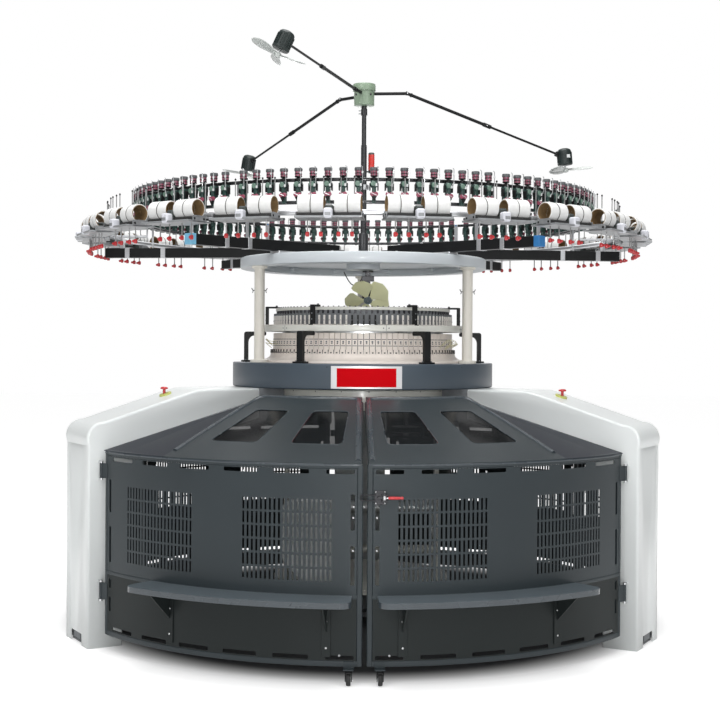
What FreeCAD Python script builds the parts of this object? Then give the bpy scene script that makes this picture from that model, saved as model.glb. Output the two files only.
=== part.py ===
import FreeCAD, Part
import math
import os

# Large circular knitting machine: three legs carry a round bed with the knitting head, three
# pillars carry a top plate, and the top plate carries a mast, a ring of yarn feeders and a ring of
# driven yarn rolls.  Millimetres.  The origin is on the machine's axis at floor level, +Z is up and
# -Y is the front.  Angles are in degrees from the front, positive towards +X.

# ---- driving dimensions ------------------------------------------------------------------------
fit_gap = 0.3            # seated pieces that are not bolted face to face
running_gap = 1.0        # a shaft or drum that turns in its bore
sheet = 3.0              # folded sheet metal

leg_angles = (-60.0, 60.0, 180.0)
leg_width = 327.0
guard_radius = 1520.0
leg_overhang = 58.0      # of the legs, past the guards
leg_column_depth = 172.0
leg_outer_radius = guard_radius + leg_overhang
leg_column_inner_radius = leg_outer_radius - leg_column_depth
leg_shoulder_height = 950.0
leg_crown_radius = leg_outer_radius - 78.0
leg_crown_height = 1062.0
leg_flat_radius = 1020.0
leg_root_radius = 556.0
leg_root_drop = 151.0
leg_wall = 4.0
leg_web = 90.0
notch_width = 150.0
notch_height = 55.0
foot_radius = 55.0
foot_height = 22.0
foot_spread = 90.0

bed_radius = 695.6
bed_bottom = 1209.0
bed_height = 127.0
needle_radius = 431.8    # 34 inch needle cylinder
bed_bore_radius = needle_radius + 50.2
bed_chamfer = 5.0
bed_top = bed_bottom + bed_height
gear_bottom = bed_bottom + 6.0
housing_radius = bed_bore_radius + 48.0
housing_height = 109.0
housing_slot = (34.0, 46.0)

plate_sign_width = 350.0
plate_sign_height = 110.0
plate_sign_angle = 1.1
plate_sign_thickness = 3.0

pillar_angles = leg_angles
pillar_circle = 618.0
pillar_radius = 26.5
pillar_height = 496.0
pillar_foot_radius = 46.0
pillar_foot_height = 15.0
pillar_head_radius = 40.0
pillar_head_height = 12.0
plate_bottom = bed_top + pillar_height
plate_radius = 658.5
plate_height = 56.0
plate_skin = 20.0
plate_rim = 92.0
plate_boss_radius = 90.0
plate_top = plate_bottom + plate_height

needle_wall = 26.0
cylinder_bottom = 1150.0
cylinder_top = 1602.0
feed_count = 102
cam_outer_radius = needle_radius + 50.2
cam_depth = 38.0
cam_bottom = bed_top + 13.0
cam_height = 140.0
skirt_radius = cam_outer_radius + 78.0
guide_ring_radius = needle_radius + 108.2
guide_ring_width = 20.0
guide_ring_bottom = 1498.0
guide_ring_height = 30.0
sinker_ring_radius = needle_radius + 36.2
sinker_ring_width = 28.0
sinker_ring_bottom = 1534.0
sinker_ring_height = 88.0
bracket_angles = (-150.0, -90.0, -30.0, 30.0, 90.0, 150.0)
bracket_circle = guide_ring_radius + 87.0
clamp_circle = sinker_ring_radius + 47.0
clamp_depth = 18.0
clamp_gap = 2.08         # between a clamp and the yarn guides beside it
yarn_guide_thickness = 3.0
yarn_guide_height = 66.0

guard_tube = 25.0
guard_bottom = 71.0
guard_top = 930.0
guard_middle = 371.0
guard_start = 0.35       # angle of the meeting edge
hood_start = 0.6
guard_leg_gap = 21.0
guard_post_gap = 36.21   # from the side of the leg to the last post
guard_edge_reach = (leg_width / 2 + guard_post_gap) / guard_radius
guard_end = leg_angles[1] - math.degrees(math.asin(guard_edge_reach))
guard_rail_pieces = 4
hood_rail_pieces = 3
guard_rail_height = 20.0
hood_inner_radius = 800.0
hood_inner_height = 1180.0
hood_windows = ((4.2, 14.2), (21.0, 31.4))
hood_window_radii = (hood_inner_radius + 170.0, guard_radius - 185.0)
window_lap = 12.0
window_thickness = 4.0
grilles = ((5.1, 20.4), (29.6, 45.3))
grille_bottom = 431.0
grille_pitch = 59.0
grille_top_margin = 120.0
grille_rows = int((guard_top - grille_top_margin - grille_bottom) / grille_pitch)
grille_columns = 20
slot_width = 9.0
slot_height = 50.0
top_slots = 6
step_depth = 170.0
step_radius = guard_radius + step_depth
step_top = 372.0
step_thickness = 25.0
step_start = 2.0
step_end = 38.5
step_corner = 50.0
step_bracket_angles = (6.1, 34.2)

hinge_radius = guard_radius + 12.0
hinge_offset = 20.5      # pin centre to the side of the leg
hinge_barrel = 8.0
hinge_pin = 4.5
hinge_levels = ((235.0, 313.0), (guard_top - 129.0, guard_top - 60.0))

caster_radius = 25.0
caster_width = 20.0
caster_angle = 2.45
caster_circle = guard_radius + 25.0
caster_trail = 12.0
caster_axle = 4.0
caster_lift = 0.6

latch_height = guard_top - 144.0
latch_angle = 2.4
latch_standoff = 20.0
latch_boss_half = 10.0
latch_pin = 3.0
latch_grip = 64.0

stop_button_circle = 1130.0
stop_button_radius = 20.0
stop_button_travel = 4.0
stop_base_radius = 30.0
stop_base_height = 10.0
stop_stem_radius = 7.0

stand_radius = 190.0
stand_height = 170.0
takedown_disc_radius = needle_radius + 38.2
takedown_disc_thickness = 24.0
takedown_plate_offset = needle_radius - 31.8
takedown_plate_width = 420.0
takedown_waist = 700.0
takedown_plate_thickness = 18.0
takedown_sweep_gap = 8.0   # between the turning frame and the belt
takedown_roller_radius = 34.0
takedown_roller_height = 560.0
cloth_bar_radius = 22.0
cloth_bar_height = 330.0
journal_radius = 14.0

gear_radius = needle_radius + 38.2
gear_height = 36.0
pinion_radius = 40.0
pinion_angle = 150.0
mesh_gap = 0.6
drive_shaft_radius = 15.0
motor_radius = 95.0
motor_length = 260.0
motor_circle = 900.0
pulley_radius = 80.0
motor_pulley_radius = 50.0
pulley_width = 34.0
pulley_bottom = 930.0
belt_thickness = 5.0

mast_radius = 16.0
mast_foot_height = 142.0
mast_height = 607.0
mast_top = plate_top + mast_height
upper_mast_radius = 12.5
upper_mast_height = 218.0
hub_bottom = mast_top + upper_mast_height
hub_height = 118.0
hub_radius = 55.0
hub_disc_radius = 62.0
collar_height = plate_top + 389.0
beacon_place = (41.0, 22.0)
beacon_radius = 17.5
beacon_bottom = plate_top + 483.0
beacon_height = 97.0

fan_arm_radius = 8.5
fan_arm_tip_radius = 6.0
# heights of the fans' elbows and motors count from the underside of the hub
fan_elbows = ((-45.0, -123.0, 66.0), (-132.0, 120.0, 57.0), (230.0, -20.0, 67.0))
fan_motors = ((-376.0, -1080.0, 93.0), (-691.0, 900.0, -181.0), (1110.0, 170.0, -240.0))
fan_leans = ((-24.0, -4.0), (-11.0, 14.0), (5.0, 1.0))   # of each shaft, in degrees along X and Y
fan_motor_radius = 42.0
fan_motor_height = 95.0
fan_arm_grip = 14.0
fan_blade_standoff = 22.0
fan_blade_radius = 150.0
fan_blade_width = 62.0
fan_blade_count = 3

centre_fan_place = (26.0, -10.0, plate_bottom - 161.0)
centre_fan_tilt = 59.0    # of its shaft from straight down
centre_fan_radius = 125.0
centre_fan_blades = 5
centre_fan_width = 82.0

arm_bottom = plate_top + 12.0
arm_height = 52.0

feeder_circle = 1203.0
feeder_segments = 6
feeders_per_segment = 18
feeder_pitch = 3.25
feeder_wheel_radius = 19.0
feeder_wheel_height = 43.0
feeder_body_width = 32.0
feeder_body_depth = 44.0
feeder_ring_width = 14.0
feeder_ring_height = 16.0
feeder_ring_lift = 160.0     # of the lower ring, over the arms' underside
feeder_ring_spacing = 101.0
feeder_ring_low = arm_bottom + feeder_ring_lift
feeder_ring_high = feeder_ring_low + feeder_ring_spacing
feeder_ring_levels = ((feeder_ring_low, feeder_ring_low + feeder_ring_height),
                      (feeder_ring_high, feeder_ring_high + feeder_ring_height))
feeder_body_bottom = feeder_ring_low + feeder_ring_height + 5.0
feeder_body_top = feeder_ring_high + 12.0
feeder_wheel_bottom = feeder_body_top + 3.0

roll_ring_twist = 1.2
roll_units = 24
roll_circle = 1438.0
roll_radius = 44.5
roll_width = 55.0
roll_bore_radius = 37.0
roller_radius = 10.0
roller_spread = 30.0
roller_drop = math.sqrt((roll_radius + roller_radius + fit_gap) ** 2 - roller_spread ** 2)
unit_length = 286.0
unit_box_width = 38.0
unit_box_height = 56.0
cradle_width = 146.0
cradle_bottom = arm_bottom + 66.0
roll_height = cradle_bottom + 61.0
cradle_height = 10.0
cheek_reach = 42.0           # of the plates at a tray's ends, each way from the roll circle
cheek_height = 30.0
cradle_wall = 3.0
roll_ring_width = 24.0       # the ring runs along the inner wall of the trays
roll_ring_height = 24.0
roll_ring_outer = roll_circle - cradle_width / 2
roll_ring_inner = roll_ring_outer - roll_ring_width
roll_ring_bottom = cradle_bottom + 26.0
roll_ring_top = roll_ring_bottom + roll_ring_height
saddle_width = 60.0
stop_stem_length = 54.0
stop_head_height = 22.0

arm_width = 50.0
short_arm_angles = (-45.0, 45.0)
long_arm_angles = (-143.0, -97.0, 97.0, 143.0)
arm_inner_radius = 200.0
short_arm_outer_radius = feeder_circle - 16.0
long_arm_outer_radius = roll_circle - 14.0
strap_width = 22.0
ring_post_depth = 14.0


# ---- plain shape helpers -----------------------------------------------------------------------
def vec(x, y, z):
    return FreeCAD.Vector(x, y, z)


def polar(radius, angle, z):
    turn = math.radians(angle)
    return vec(radius * math.sin(turn), -radius * math.cos(turn), z)


def turn(shape, angle):
    """Turn a shape that was built at the front to its place round the machine."""
    copy = shape.copy()
    copy.rotate(vec(0, 0, 0), vec(0, 0, 1), angle)
    return copy


def mirror(shape):
    """The same shape on the other side of the machine's middle plane."""
    return shape.mirror(vec(0, 0, 0), vec(1, 0, 0))


def block(x0, x1, y0, y1, z0, z1):
    return Part.makeBox(x1 - x0, y1 - y0, z1 - z0, vec(x0, y0, z0))


def front_block(width, r0, r1, z0, z1):
    """A block on the front centre line between two radii."""
    return block(-width / 2, width / 2, -r1, -r0, z0, z1)


def rod(radius, start, end):
    way = end - start
    return Part.makeCylinder(radius, way.Length, start, way)


def drum(radius, bottom, height, x=0.0, y=0.0):
    return Part.makeCylinder(radius, height, vec(x, y, bottom))


def tube(outer, inner, bottom, height, x=0.0, y=0.0):
    return drum(outer, bottom, height, x, y).cut(drum(inner, bottom - 1, height + 2, x, y))


def turned(points, start=0.0, sweep=360.0):
    """Turn an (r, z) outline about the axis, from one angle through a sweep."""
    corners = [vec(r, 0, z) for r, z in points]
    face = Part.Face(Part.makePolygon(corners + corners[:1]))
    solid = face.revolve(vec(0, 0, 0), vec(0, 0, 1), sweep)
    return turn(solid, start - 90)


def band(inner, outer, bottom, top, start=0.0, sweep=360.0):
    return turned(((inner, bottom), (outer, bottom), (outer, top), (inner, top)), start, sweep)


def fused(shapes):
    result = shapes[0]
    for shape in shapes[1:]:
        result = result.fuse(shape)
    return result.removeSplitter()


def group(shapes):
    return Part.makeCompound(shapes)


nodes = {}


def add(name, shapes):
    """Keep one named piece, or a group of separate like pieces."""
    nodes[name] = group(shapes) if isinstance(shapes, list) else shapes


# ---- legs --------------------------------------------------------------------------------------
def leg_outline(inset, root, foot):
    """Side outline of a leg as a wire in the plane x = 0, radius running towards the front."""
    outer = leg_outer_radius - inset
    crown = vec(0, -(leg_crown_radius + 0.2 * inset), leg_crown_height - 1.1 * inset)
    shoulder = vec(0, -outer, leg_shoulder_height)
    middle = vec(0, -(outer - 17), leg_shoulder_height + 68 - inset)
    top = bed_bottom - inset
    slope = (bed_bottom - leg_crown_height) / (leg_crown_radius - leg_flat_radius)
    under = [vec(0, -root, top), vec(0, -root, bed_bottom - leg_root_drop + inset)]
    if root > leg_root_radius:
        drop = (root - leg_root_radius) * 41.0 / 294.0
        under[1] = vec(0, -root, bed_bottom - leg_root_drop + inset - drop)
    under += [vec(0, -850, 1017 + inset), vec(0, -1250, 930 + inset)]
    column = leg_column_inner_radius + inset
    under += [vec(0, -column, 760), vec(0, -column, foot), vec(0, -outer, foot)]
    flat = vec(0, -(leg_flat_radius - slope * 0.2 * inset), top)
    edges = [Part.Arc(shoulder, middle, crown).toShape()]
    path = [crown, flat] + under + [shoulder]
    edges += [Part.makeLine(a, b) for a, b in zip(path, path[1:])]
    return Part.Wire(edges)


def leg_slab(inset, root, foot, width):
    face = Part.Face(leg_outline(inset, root, foot))
    slab = face.extrude(vec(width, 0, 0))
    slab.translate(vec(-width / 2, 0, 0))
    return slab


def leg_cover(with_button):
    """The folded white cover: a shell that is open below and towards the bed."""
    root = bed_radius + 2 * fit_gap
    shell = leg_slab(0, root, fit_gap, leg_width)
    hollow = leg_slab(leg_wall, root - 20, -20, leg_width - 2 * leg_wall)
    shell = shell.cut(hollow)
    notch = front_block(notch_width, leg_outer_radius - 40, leg_outer_radius + 10, -5, notch_height)
    shell = shell.cut(notch)
    if with_button:
        foot, normal = stop_button_seat()
        shell = shell.cut(rod(stop_base_radius - 12, foot - normal * 30, foot + normal * 10))
    return shell


def leg_frame():
    """The casting inside the cover: a web, the head under the bed and a foot plate."""
    web = leg_slab(leg_wall + fit_gap, leg_root_radius + leg_wall, foot_height, leg_web)
    beyond = front_block(leg_width + 20, bed_radius, leg_outer_radius + 50, 0, bed_top)
    head = leg_slab(0, leg_root_radius, fit_gap, leg_width).cut(beyond)
    foot, normal = stop_button_seat()
    web = web.cut(rod(stop_base_radius + 4, foot - normal * 45, foot + normal * 20))
    sole_width = leg_width - 2 * leg_wall - 20
    sole = front_block(sole_width, leg_column_inner_radius + 20, leg_outer_radius - 20,
                       foot_height, foot_height + 30)
    return fused([web, head, sole])


def stop_button_seat():
    """Where a stop button stands on the sloped top of a leg, and the slope's normal."""
    rise = bed_bottom - leg_crown_height
    run = leg_crown_radius - leg_flat_radius
    length = math.hypot(rise, run)
    height = bed_bottom - (stop_button_circle - leg_flat_radius) * rise / run
    return vec(0, -stop_button_circle, height), vec(0, -rise / length, run / length)


def stop_button():
    foot, normal = stop_button_seat()
    head_start = stop_base_height + stop_button_travel + 2
    stem = rod(stop_stem_radius, foot - normal * 20, foot + normal * (head_start + 2))
    dome = Part.makeSphere(stop_button_radius * 1.6, foot + normal * (head_start - 6))
    head = rod(stop_button_radius, foot + normal * head_start,
               foot + normal * (head_start + 26)).common(dome)
    return fused([stem, head])


def stop_base():
    foot, normal = stop_button_seat()
    flange = rod(stop_base_radius, foot, foot + normal * stop_base_height)
    barrel = rod(stop_base_radius - 12 - fit_gap, foot - normal * 26, foot + normal)
    bore = rod(stop_stem_radius + fit_gap, foot - normal * 30, foot + normal * 20)
    return fused([flange, barrel]).cut(bore)


def legs():
    add("leg_covers", [turn(leg_cover(angle != 180.0), angle) for angle in leg_angles])
    add("leg_frames", [turn(leg_frame(), angle) for angle in leg_angles])
    feet = []
    for angle in leg_angles:
        for side in (-1, 1):
            centre = (leg_column_inner_radius + leg_outer_radius) / 2
            feet.append(turn(drum(foot_radius, 0, foot_height, side * foot_spread, -centre), angle))
    add("levelling_feet", feet)
    add("stop_button_bases", [turn(stop_base(), angle) for angle in leg_angles[:2]])
    add("stop_button_left", turn(stop_button(), leg_angles[0]))
    add("stop_button_right", turn(stop_button(), leg_angles[1]))


# ---- bed, pillars and top plate ----------------------------------------------------------------
def bed():
    """The round bed with its gear race, and the housing below it."""
    chamfer = bed_chamfer
    outline = ((bed_bore_radius, bed_bottom), (bed_radius - chamfer, bed_bottom),
               (bed_radius, bed_bottom + chamfer), (bed_radius, bed_top - chamfer),
               (bed_radius - chamfer, bed_top), (bed_bore_radius, bed_top))
    ring = turned(outline)
    pinion = pinion_centre()
    pocket = drum(pinion_radius + 4, bed_bottom - 1, gear_height + 8, pinion.x, pinion.y)
    add("bed_ring", ring.cut(pocket))
    wall = band(bed_bore_radius, housing_radius, bed_bottom - housing_height, bed_bottom)
    race = band(needle_radius + 5, bed_bore_radius, bed_bottom - 19, gear_bottom - fit_gap)
    wall = wall.fuse(race)
    opening_width, opening_height = housing_slot
    slots = []
    for angle in (-33, -27, -21, -15, 15, 21, 27, 33, 80, 100, 135, 165, -80, -100, -135, -165):
        slot = front_block(opening_width, housing_radius - 12, housing_radius + 5,
                           bed_bottom - 84, bed_bottom - 84 + opening_height)
        slots.append(turn(slot, angle))
    shaft_hole = drum(drive_shaft_radius + 6, bed_bottom - housing_height - 1,
                      housing_height + 2, pinion.x, pinion.y)
    add("gear_housing", wall.cut(group(slots)).cut(shaft_hole))
    half = math.degrees(plate_sign_width / 2 / bed_radius)
    middle = bed_bottom + bed_height / 2 - 2
    face = bed_radius + fit_gap
    add("blank_nameplate", band(face, face + plate_sign_thickness,
                                middle - plate_sign_height / 2, middle + plate_sign_height / 2,
                                plate_sign_angle - half, 2 * half))


def pinion_centre():
    return polar(gear_radius + pinion_radius + mesh_gap, pinion_angle, 0)


def pillar():
    foot = drum(pillar_foot_radius, bed_top, pillar_foot_height, 0, -pillar_circle)
    stem = drum(pillar_radius, bed_top, pillar_height, 0, -pillar_circle)
    head = drum(pillar_head_radius, plate_bottom - pillar_head_height, pillar_head_height,
                0, -pillar_circle)
    return fused([foot, stem, head])


def upper_frame():
    add("pillars", [turn(pillar(), angle) for angle in pillar_angles])
    ceiling = plate_top - plate_skin
    outline = ((0, plate_bottom), (plate_boss_radius, plate_bottom), (plate_boss_radius, ceiling),
               (plate_radius - plate_rim, ceiling), (plate_radius - plate_rim, plate_bottom),
               (plate_radius, plate_bottom), (plate_radius, plate_top - 4),
               (plate_radius - 4, plate_top), (0, plate_top))
    lugs = []
    for angle in range(-165, 180, 30):
        lug = front_block(46, plate_radius - plate_rim - 34, plate_radius - plate_rim - 6,
                          ceiling - 22, ceiling)
        lugs.append(turn(lug, angle))
    add("top_plate", fused([turned(outline)] + lugs))


# ---- knitting head -----------------------------------------------------------------------------
def cam_box():
    """One removable cam section: a tall plate with a slightly leaning face and a lower toe."""
    half = math.pi * (cam_outer_radius - cam_depth) / feed_count - 0.5
    outer = cam_outer_radius
    inner = outer - cam_depth
    side = [vec(-half, -inner, cam_bottom), vec(-half, -(outer + 6), cam_bottom),
            vec(-half, -(outer + 6), cam_bottom + 24), vec(-half, -outer, cam_bottom + 34),
            vec(-half, -outer, cam_bottom + cam_height), vec(-half, -inner, cam_bottom + cam_height)]
    face = Part.Face(Part.makePolygon(side + side[:1]))
    return face.extrude(vec(2 * half, 0, 0))


def knitting_head():
    toe = cam_outer_radius + 7
    skirt = ((cam_outer_radius - cam_depth, bed_top), (skirt_radius, bed_top),
             (skirt_radius, bed_top + 8), (skirt_radius - 15, bed_top + 20),
             (skirt_radius - 40, bed_top + 35), (toe + 11, bed_top + 53), (toe + 2, bed_top + 68),
             (toe, bed_top + 68), (toe, cam_bottom), (cam_outer_radius - cam_depth, cam_bottom))
    add("cam_saddle", turned(skirt))
    step = 360.0 / feed_count
    add("cam_sections", [turn(cam_box(), step * (k + 0.5)) for k in range(feed_count)])
    add("needle_cylinder", band(needle_radius - needle_wall, needle_radius,
                                cylinder_bottom, cylinder_top))
    sinker_inner = sinker_ring_radius - sinker_ring_width
    sinker = ((sinker_inner, sinker_ring_bottom), (sinker_ring_radius - 10, sinker_ring_bottom),
              (sinker_ring_radius - 10, sinker_ring_bottom + sinker_ring_height - 16),
              (sinker_ring_radius, sinker_ring_bottom + sinker_ring_height - 16),
              (sinker_ring_radius, sinker_ring_bottom + sinker_ring_height),
              (sinker_inner, sinker_ring_bottom + sinker_ring_height))
    add("sinker_cam_ring", turned(sinker))
    add("yarn_guide_ring", band(guide_ring_radius - guide_ring_width, guide_ring_radius,
                                guide_ring_bottom, guide_ring_bottom + guide_ring_height))
    guides = []
    for k in range(feed_count):
        inner = sinker_ring_radius + 3
        foot = guide_ring_bottom + guide_ring_height
        half = yarn_guide_thickness / 2
        corners = [vec(-half, -(guide_ring_radius - 4), foot), vec(-half, -(inner + 2), foot),
                   vec(-half, -inner, foot + 4), vec(-half, -inner, foot + yarn_guide_height),
                   vec(-half, -(inner + 9), foot + yarn_guide_height),
                   vec(-half, -(inner + 11), foot + 14), vec(-half, -(guide_ring_radius - 4), foot + 6)]
        blade = Part.Face(Part.makePolygon(corners + corners[:1])).extrude(vec(2 * half, 0, 0))
        guides.append(turn(blade, step * k))
    add("yarn_guides", guides)
    brackets = []
    for angle in bracket_angles:
        post = front_block(34, bracket_circle - 11, bracket_circle + 11, bed_top, guide_ring_bottom)
        shelf = front_block(34, guide_ring_radius - guide_ring_width, bracket_circle + 11,
                            guide_ring_bottom - 24, guide_ring_bottom)
        brackets.append(turn(fused([post, shelf]), angle))
        foot = guide_ring_bottom + guide_ring_height
        cap = sinker_ring_bottom + sinker_ring_height
        inner = clamp_circle - clamp_depth / 2
        outer = clamp_circle + clamp_depth / 2
        room = inner * math.sin(math.pi / feed_count) - yarn_guide_thickness / 2
        width = 2 * (room - clamp_gap)
        stem = front_block(width, inner, outer, foot, cap + 10)
        flange = front_block(width, inner, guide_ring_radius - 4, foot, foot + 5)
        jaw = front_block(width, sinker_ring_radius - 12, outer, cap, cap + 10)
        brackets.append(turn(fused([stem, flange, jaw]), angle))
    add("head_brackets", brackets)


# ---- guards: two swinging front leaves and four bolted leaves ----------------------------------
def cone_layer(top_drop, bottom_drop, start, end):
    """A layer of the hood's cone, so far below its outer surface."""
    outer = guard_radius
    inner = hood_inner_radius
    outline = ((inner, hood_inner_height - top_drop), (outer, guard_top - top_drop),
               (outer, guard_top - bottom_drop), (inner, hood_inner_height - bottom_drop))
    return turned(outline, start, end - start)


def beside_leg(near, far):
    """A slab parallel to the side of the right-hand leg, between two distances from it."""
    edge = leg_width / 2
    slab = block(-edge - far, -edge - near, -(leg_outer_radius + 200), -300, -50, bed_top + 200)
    return turn(slab, leg_angles[1])


def arc_pieces(shape, start, end, count):
    """The shape in equal lengths along its arc."""
    span = (end - start) / count
    outer = guard_radius + 1
    return [shape.common(band(1, outer, 0, bed_top, start + k * span, span)) for k in range(count)]


def leaf_frame():
    """Lengths of tube, welded end to end: rails, posts and the rim under the hood."""
    tube_angle = math.degrees(guard_tube / guard_radius)
    inner = guard_radius - guard_tube
    first = guard_start + tube_angle
    last = guard_end - tube_angle
    under = sheet + fit_gap
    below_hood = cone_layer(under, guard_top, guard_start, guard_end)
    top_rail = band(inner, guard_radius, guard_top - under - guard_rail_height, bed_top,
                    first, last - first)
    middle_top = guard_middle - 40 + guard_tube
    rails = [band(inner, guard_radius, guard_bottom, guard_bottom + guard_tube, first, last - first),
             band(inner, guard_radius - under, guard_middle - 40, middle_top, first, last - first),
             top_rail.common(below_hood)]
    pieces = []
    for rail in rails:
        pieces += arc_pieces(rail, first, last, guard_rail_pieces)
    for start in (guard_start, last):
        post = band(inner, guard_radius, guard_bottom, bed_top, start, tube_angle)
        pieces.append(post.common(below_hood))
    arc_end = leg_angles[1]
    rim = cone_layer(under, under + 22, guard_start, arc_end)
    rim = rim.common(band(1, inner, 0, bed_top))
    top_arc = band(1, hood_inner_radius + guard_tube, 0, bed_top)
    beside = beside_leg(guard_leg_gap, guard_leg_gap + guard_tube)
    pieces.append(rim.common(band(1, inner, 0, bed_top, guard_start, tube_angle)).cut(top_arc))
    pieces.append(rim.common(beside).cut(top_arc))
    arc = rim.common(top_arc).cut(beside_leg(-leg_width, guard_leg_gap))
    pieces += arc_pieces(arc, guard_start, arc_end, hood_rail_pieces)
    return pieces


def leg_tabs():
    """Bolted tabs that hold a fixed leaf to the side of the right-hand leg."""
    edge = leg_width / 2
    tube_angle = math.degrees(guard_tube / guard_radius)
    beyond = band(1, guard_radius + 1, 0, bed_top, 0, guard_end - tube_angle)
    post = band(guard_radius - guard_tube, guard_radius, 0, bed_top, guard_end - tube_angle, tube_angle)
    tabs = []
    for level in (140.0, guard_middle + 109.0, guard_top - 100.0):
        tab = block(-edge - 2 * guard_leg_gap, -edge, -guard_radius + 5, -guard_radius + 19,
                    level, level + 40)
        tabs.append(turn(tab, leg_angles[1]).cut(post).cut(beyond))
    return tabs


def slot_cut(start, end, bottom, top):
    return band(guard_radius - 3 * sheet, guard_radius + sheet, bottom, top, start, end - start)


def leaf_panel():
    """The curved outer sheet with its vent slots and two grilles."""
    tube_angle = math.degrees((guard_tube + fit_gap) / guard_radius)
    low = guard_bottom + guard_tube + fit_gap
    high = guard_top - sheet - 20 - 2 * fit_gap
    first = guard_start + tube_angle
    last = guard_end - tube_angle
    panel = band(guard_radius - sheet, guard_radius, low, high, first, last - first)
    cuts = []
    for k in range(top_slots):
        start = max(0.3 + 8.7 * k, first + 0.4)
        end = 0.3 + 8.7 * k + 5.9
        cuts.append(slot_cut(start, end, high - 22, high - 4))
        cuts.append(slot_cut(start, end, low + 4, low + 22))
    for bottom, top in ((guard_top - 283, guard_top - 132), (guard_middle + 44, guard_top - 350)):
        cuts.append(slot_cut(first + 0.35, first + 1.0, bottom, top))
        cuts.append(slot_cut(last - 1.2, last - 0.55, bottom, top))
    for bottom, top in ((guard_middle - 75, guard_middle - 31), (guard_middle - 184, guard_middle - 118)):
        cuts.append(slot_cut(last - 1.2, last - 0.55, bottom, top))
    for start, end in grilles:
        pitch = (end - start) / grille_columns
        for column in range(grille_columns):
            for row in range(grille_rows):
                bottom = grille_bottom + grille_pitch * row
                slot = front_block(slot_width, guard_radius - 3 * sheet, guard_radius + sheet,
                                   bottom, bottom + slot_height)
                cuts.append(turn(slot, start + pitch * (column + 0.5)))
    return panel.cut(group(cuts))


def window_wedge(window, lap):
    inner, outer = hood_window_radii
    extra = math.degrees(lap / inner)
    return band(inner - lap, outer + lap, 0, bed_top + 100,
                window[0] - extra, window[1] - window[0] + 2 * extra)


def leaf_hood():
    hood = cone_layer(0, sheet, hood_start, leg_angles[1])
    hood = hood.cut(beside_leg(-leg_width, guard_leg_gap))
    return hood.cut(group([window_wedge(window, 0) for window in hood_windows]))


def leaf_windows():
    layer = cone_layer(sheet + fit_gap, sheet + fit_gap + window_thickness, guard_start + 2, 40)
    return [layer.common(window_wedge(window, window_lap)) for window in hood_windows]


def leaf_step():
    start = guard_radius + fit_gap
    step = band(start, step_radius, step_top - step_thickness, step_top, step_start,
                step_end - step_start)
    corners = []
    for edge in step.Edges:
        ends = [vertex.Point for vertex in edge.Vertexes]
        upright = len(ends) == 2 and abs(ends[0].z - ends[1].z) > step_thickness / 2
        if upright and math.hypot(ends[0].x, ends[0].y) > step_radius - 1:
            corners.append(edge)
    return step.makeFillet(step_corner, corners)


def leaf_step_brackets():
    brackets = []
    under = step_top - step_thickness
    for angle in step_bracket_angles:
        back = guard_radius + 2 * fit_gap
        strip = front_block(40, back, back + 5, 112, under + 2)
        corners = [vec(-3, -(back + 3), under + 2), vec(-3, -(step_radius - 40), under + 2),
                   vec(-3, -(step_radius - 40), under), vec(-3, -(back + 3), under - 130)]
        gusset = Part.Face(Part.makePolygon(corners + corners[:1])).extrude(vec(6, 0, 0))
        brackets.append(turn(fused([strip, gusset]), angle))
    return brackets


def hinge_centre():
    """The right-hand hinge pin, beside the right-hand leg."""
    across = -(leg_width / 2 + hinge_offset)
    along = math.sqrt(hinge_radius ** 2 - across ** 2)
    spot = vec(across, -along, 0)
    angle = math.radians(leg_angles[1])
    return vec(spot.x * math.cos(angle) - spot.y * math.sin(angle),
               spot.x * math.sin(angle) + spot.y * math.cos(angle), 0)


def hinge_barrels():
    centre = hinge_centre()
    barrels = []
    for bottom, top in hinge_levels:
        barrel = drum(hinge_barrel, bottom, top - bottom, centre.x, centre.y)
        outward = guard_radius - 4
        angle = guard_end - 0.5
        tab_end = polar(outward, angle, 0)
        reach = tab_end - vec(centre.x, centre.y, 0)
        side = vec(-reach.y, reach.x, 0).normalize() * 3
        start = vec(centre.x, centre.y, bottom)
        lift = vec(0, 0, bottom)
        corners = [start + side, tab_end + lift + side, tab_end + lift - side, start - side]
        tab = Part.Face(Part.makePolygon(corners + corners[:1])).extrude(vec(0, 0, top - bottom))
        ring = band(guard_radius - guard_tube - 10, guard_radius + fit_gap, 0, bed_top)
        barrel = fused([barrel, tab.cut(ring)])
        bore = drum(hinge_pin + 0.1, bottom - 1, top - bottom + 2, centre.x, centre.y)
        barrels.append(barrel.cut(bore))
    return barrels


def hinge_pins():
    pins = []
    across = leg_width / 2
    along = math.sqrt(hinge_radius ** 2 - (across + hinge_offset) ** 2)
    for bottom, top in hinge_levels:
        pin = drum(hinge_pin, bottom - 9, top - bottom + 18, -(across + hinge_offset), -along)
        ears = []
        for level in (bottom - 9, top + 1):
            ears.append(block(-(across + hinge_offset), -across, -along - 7, -along + 7,
                              level, level + 8))
            ears.append(drum(hinge_barrel, level, 8, -(across + hinge_offset), -along))
        pins.append(turn(fused([pin] + ears), leg_angles[1]))
    return pins


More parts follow.
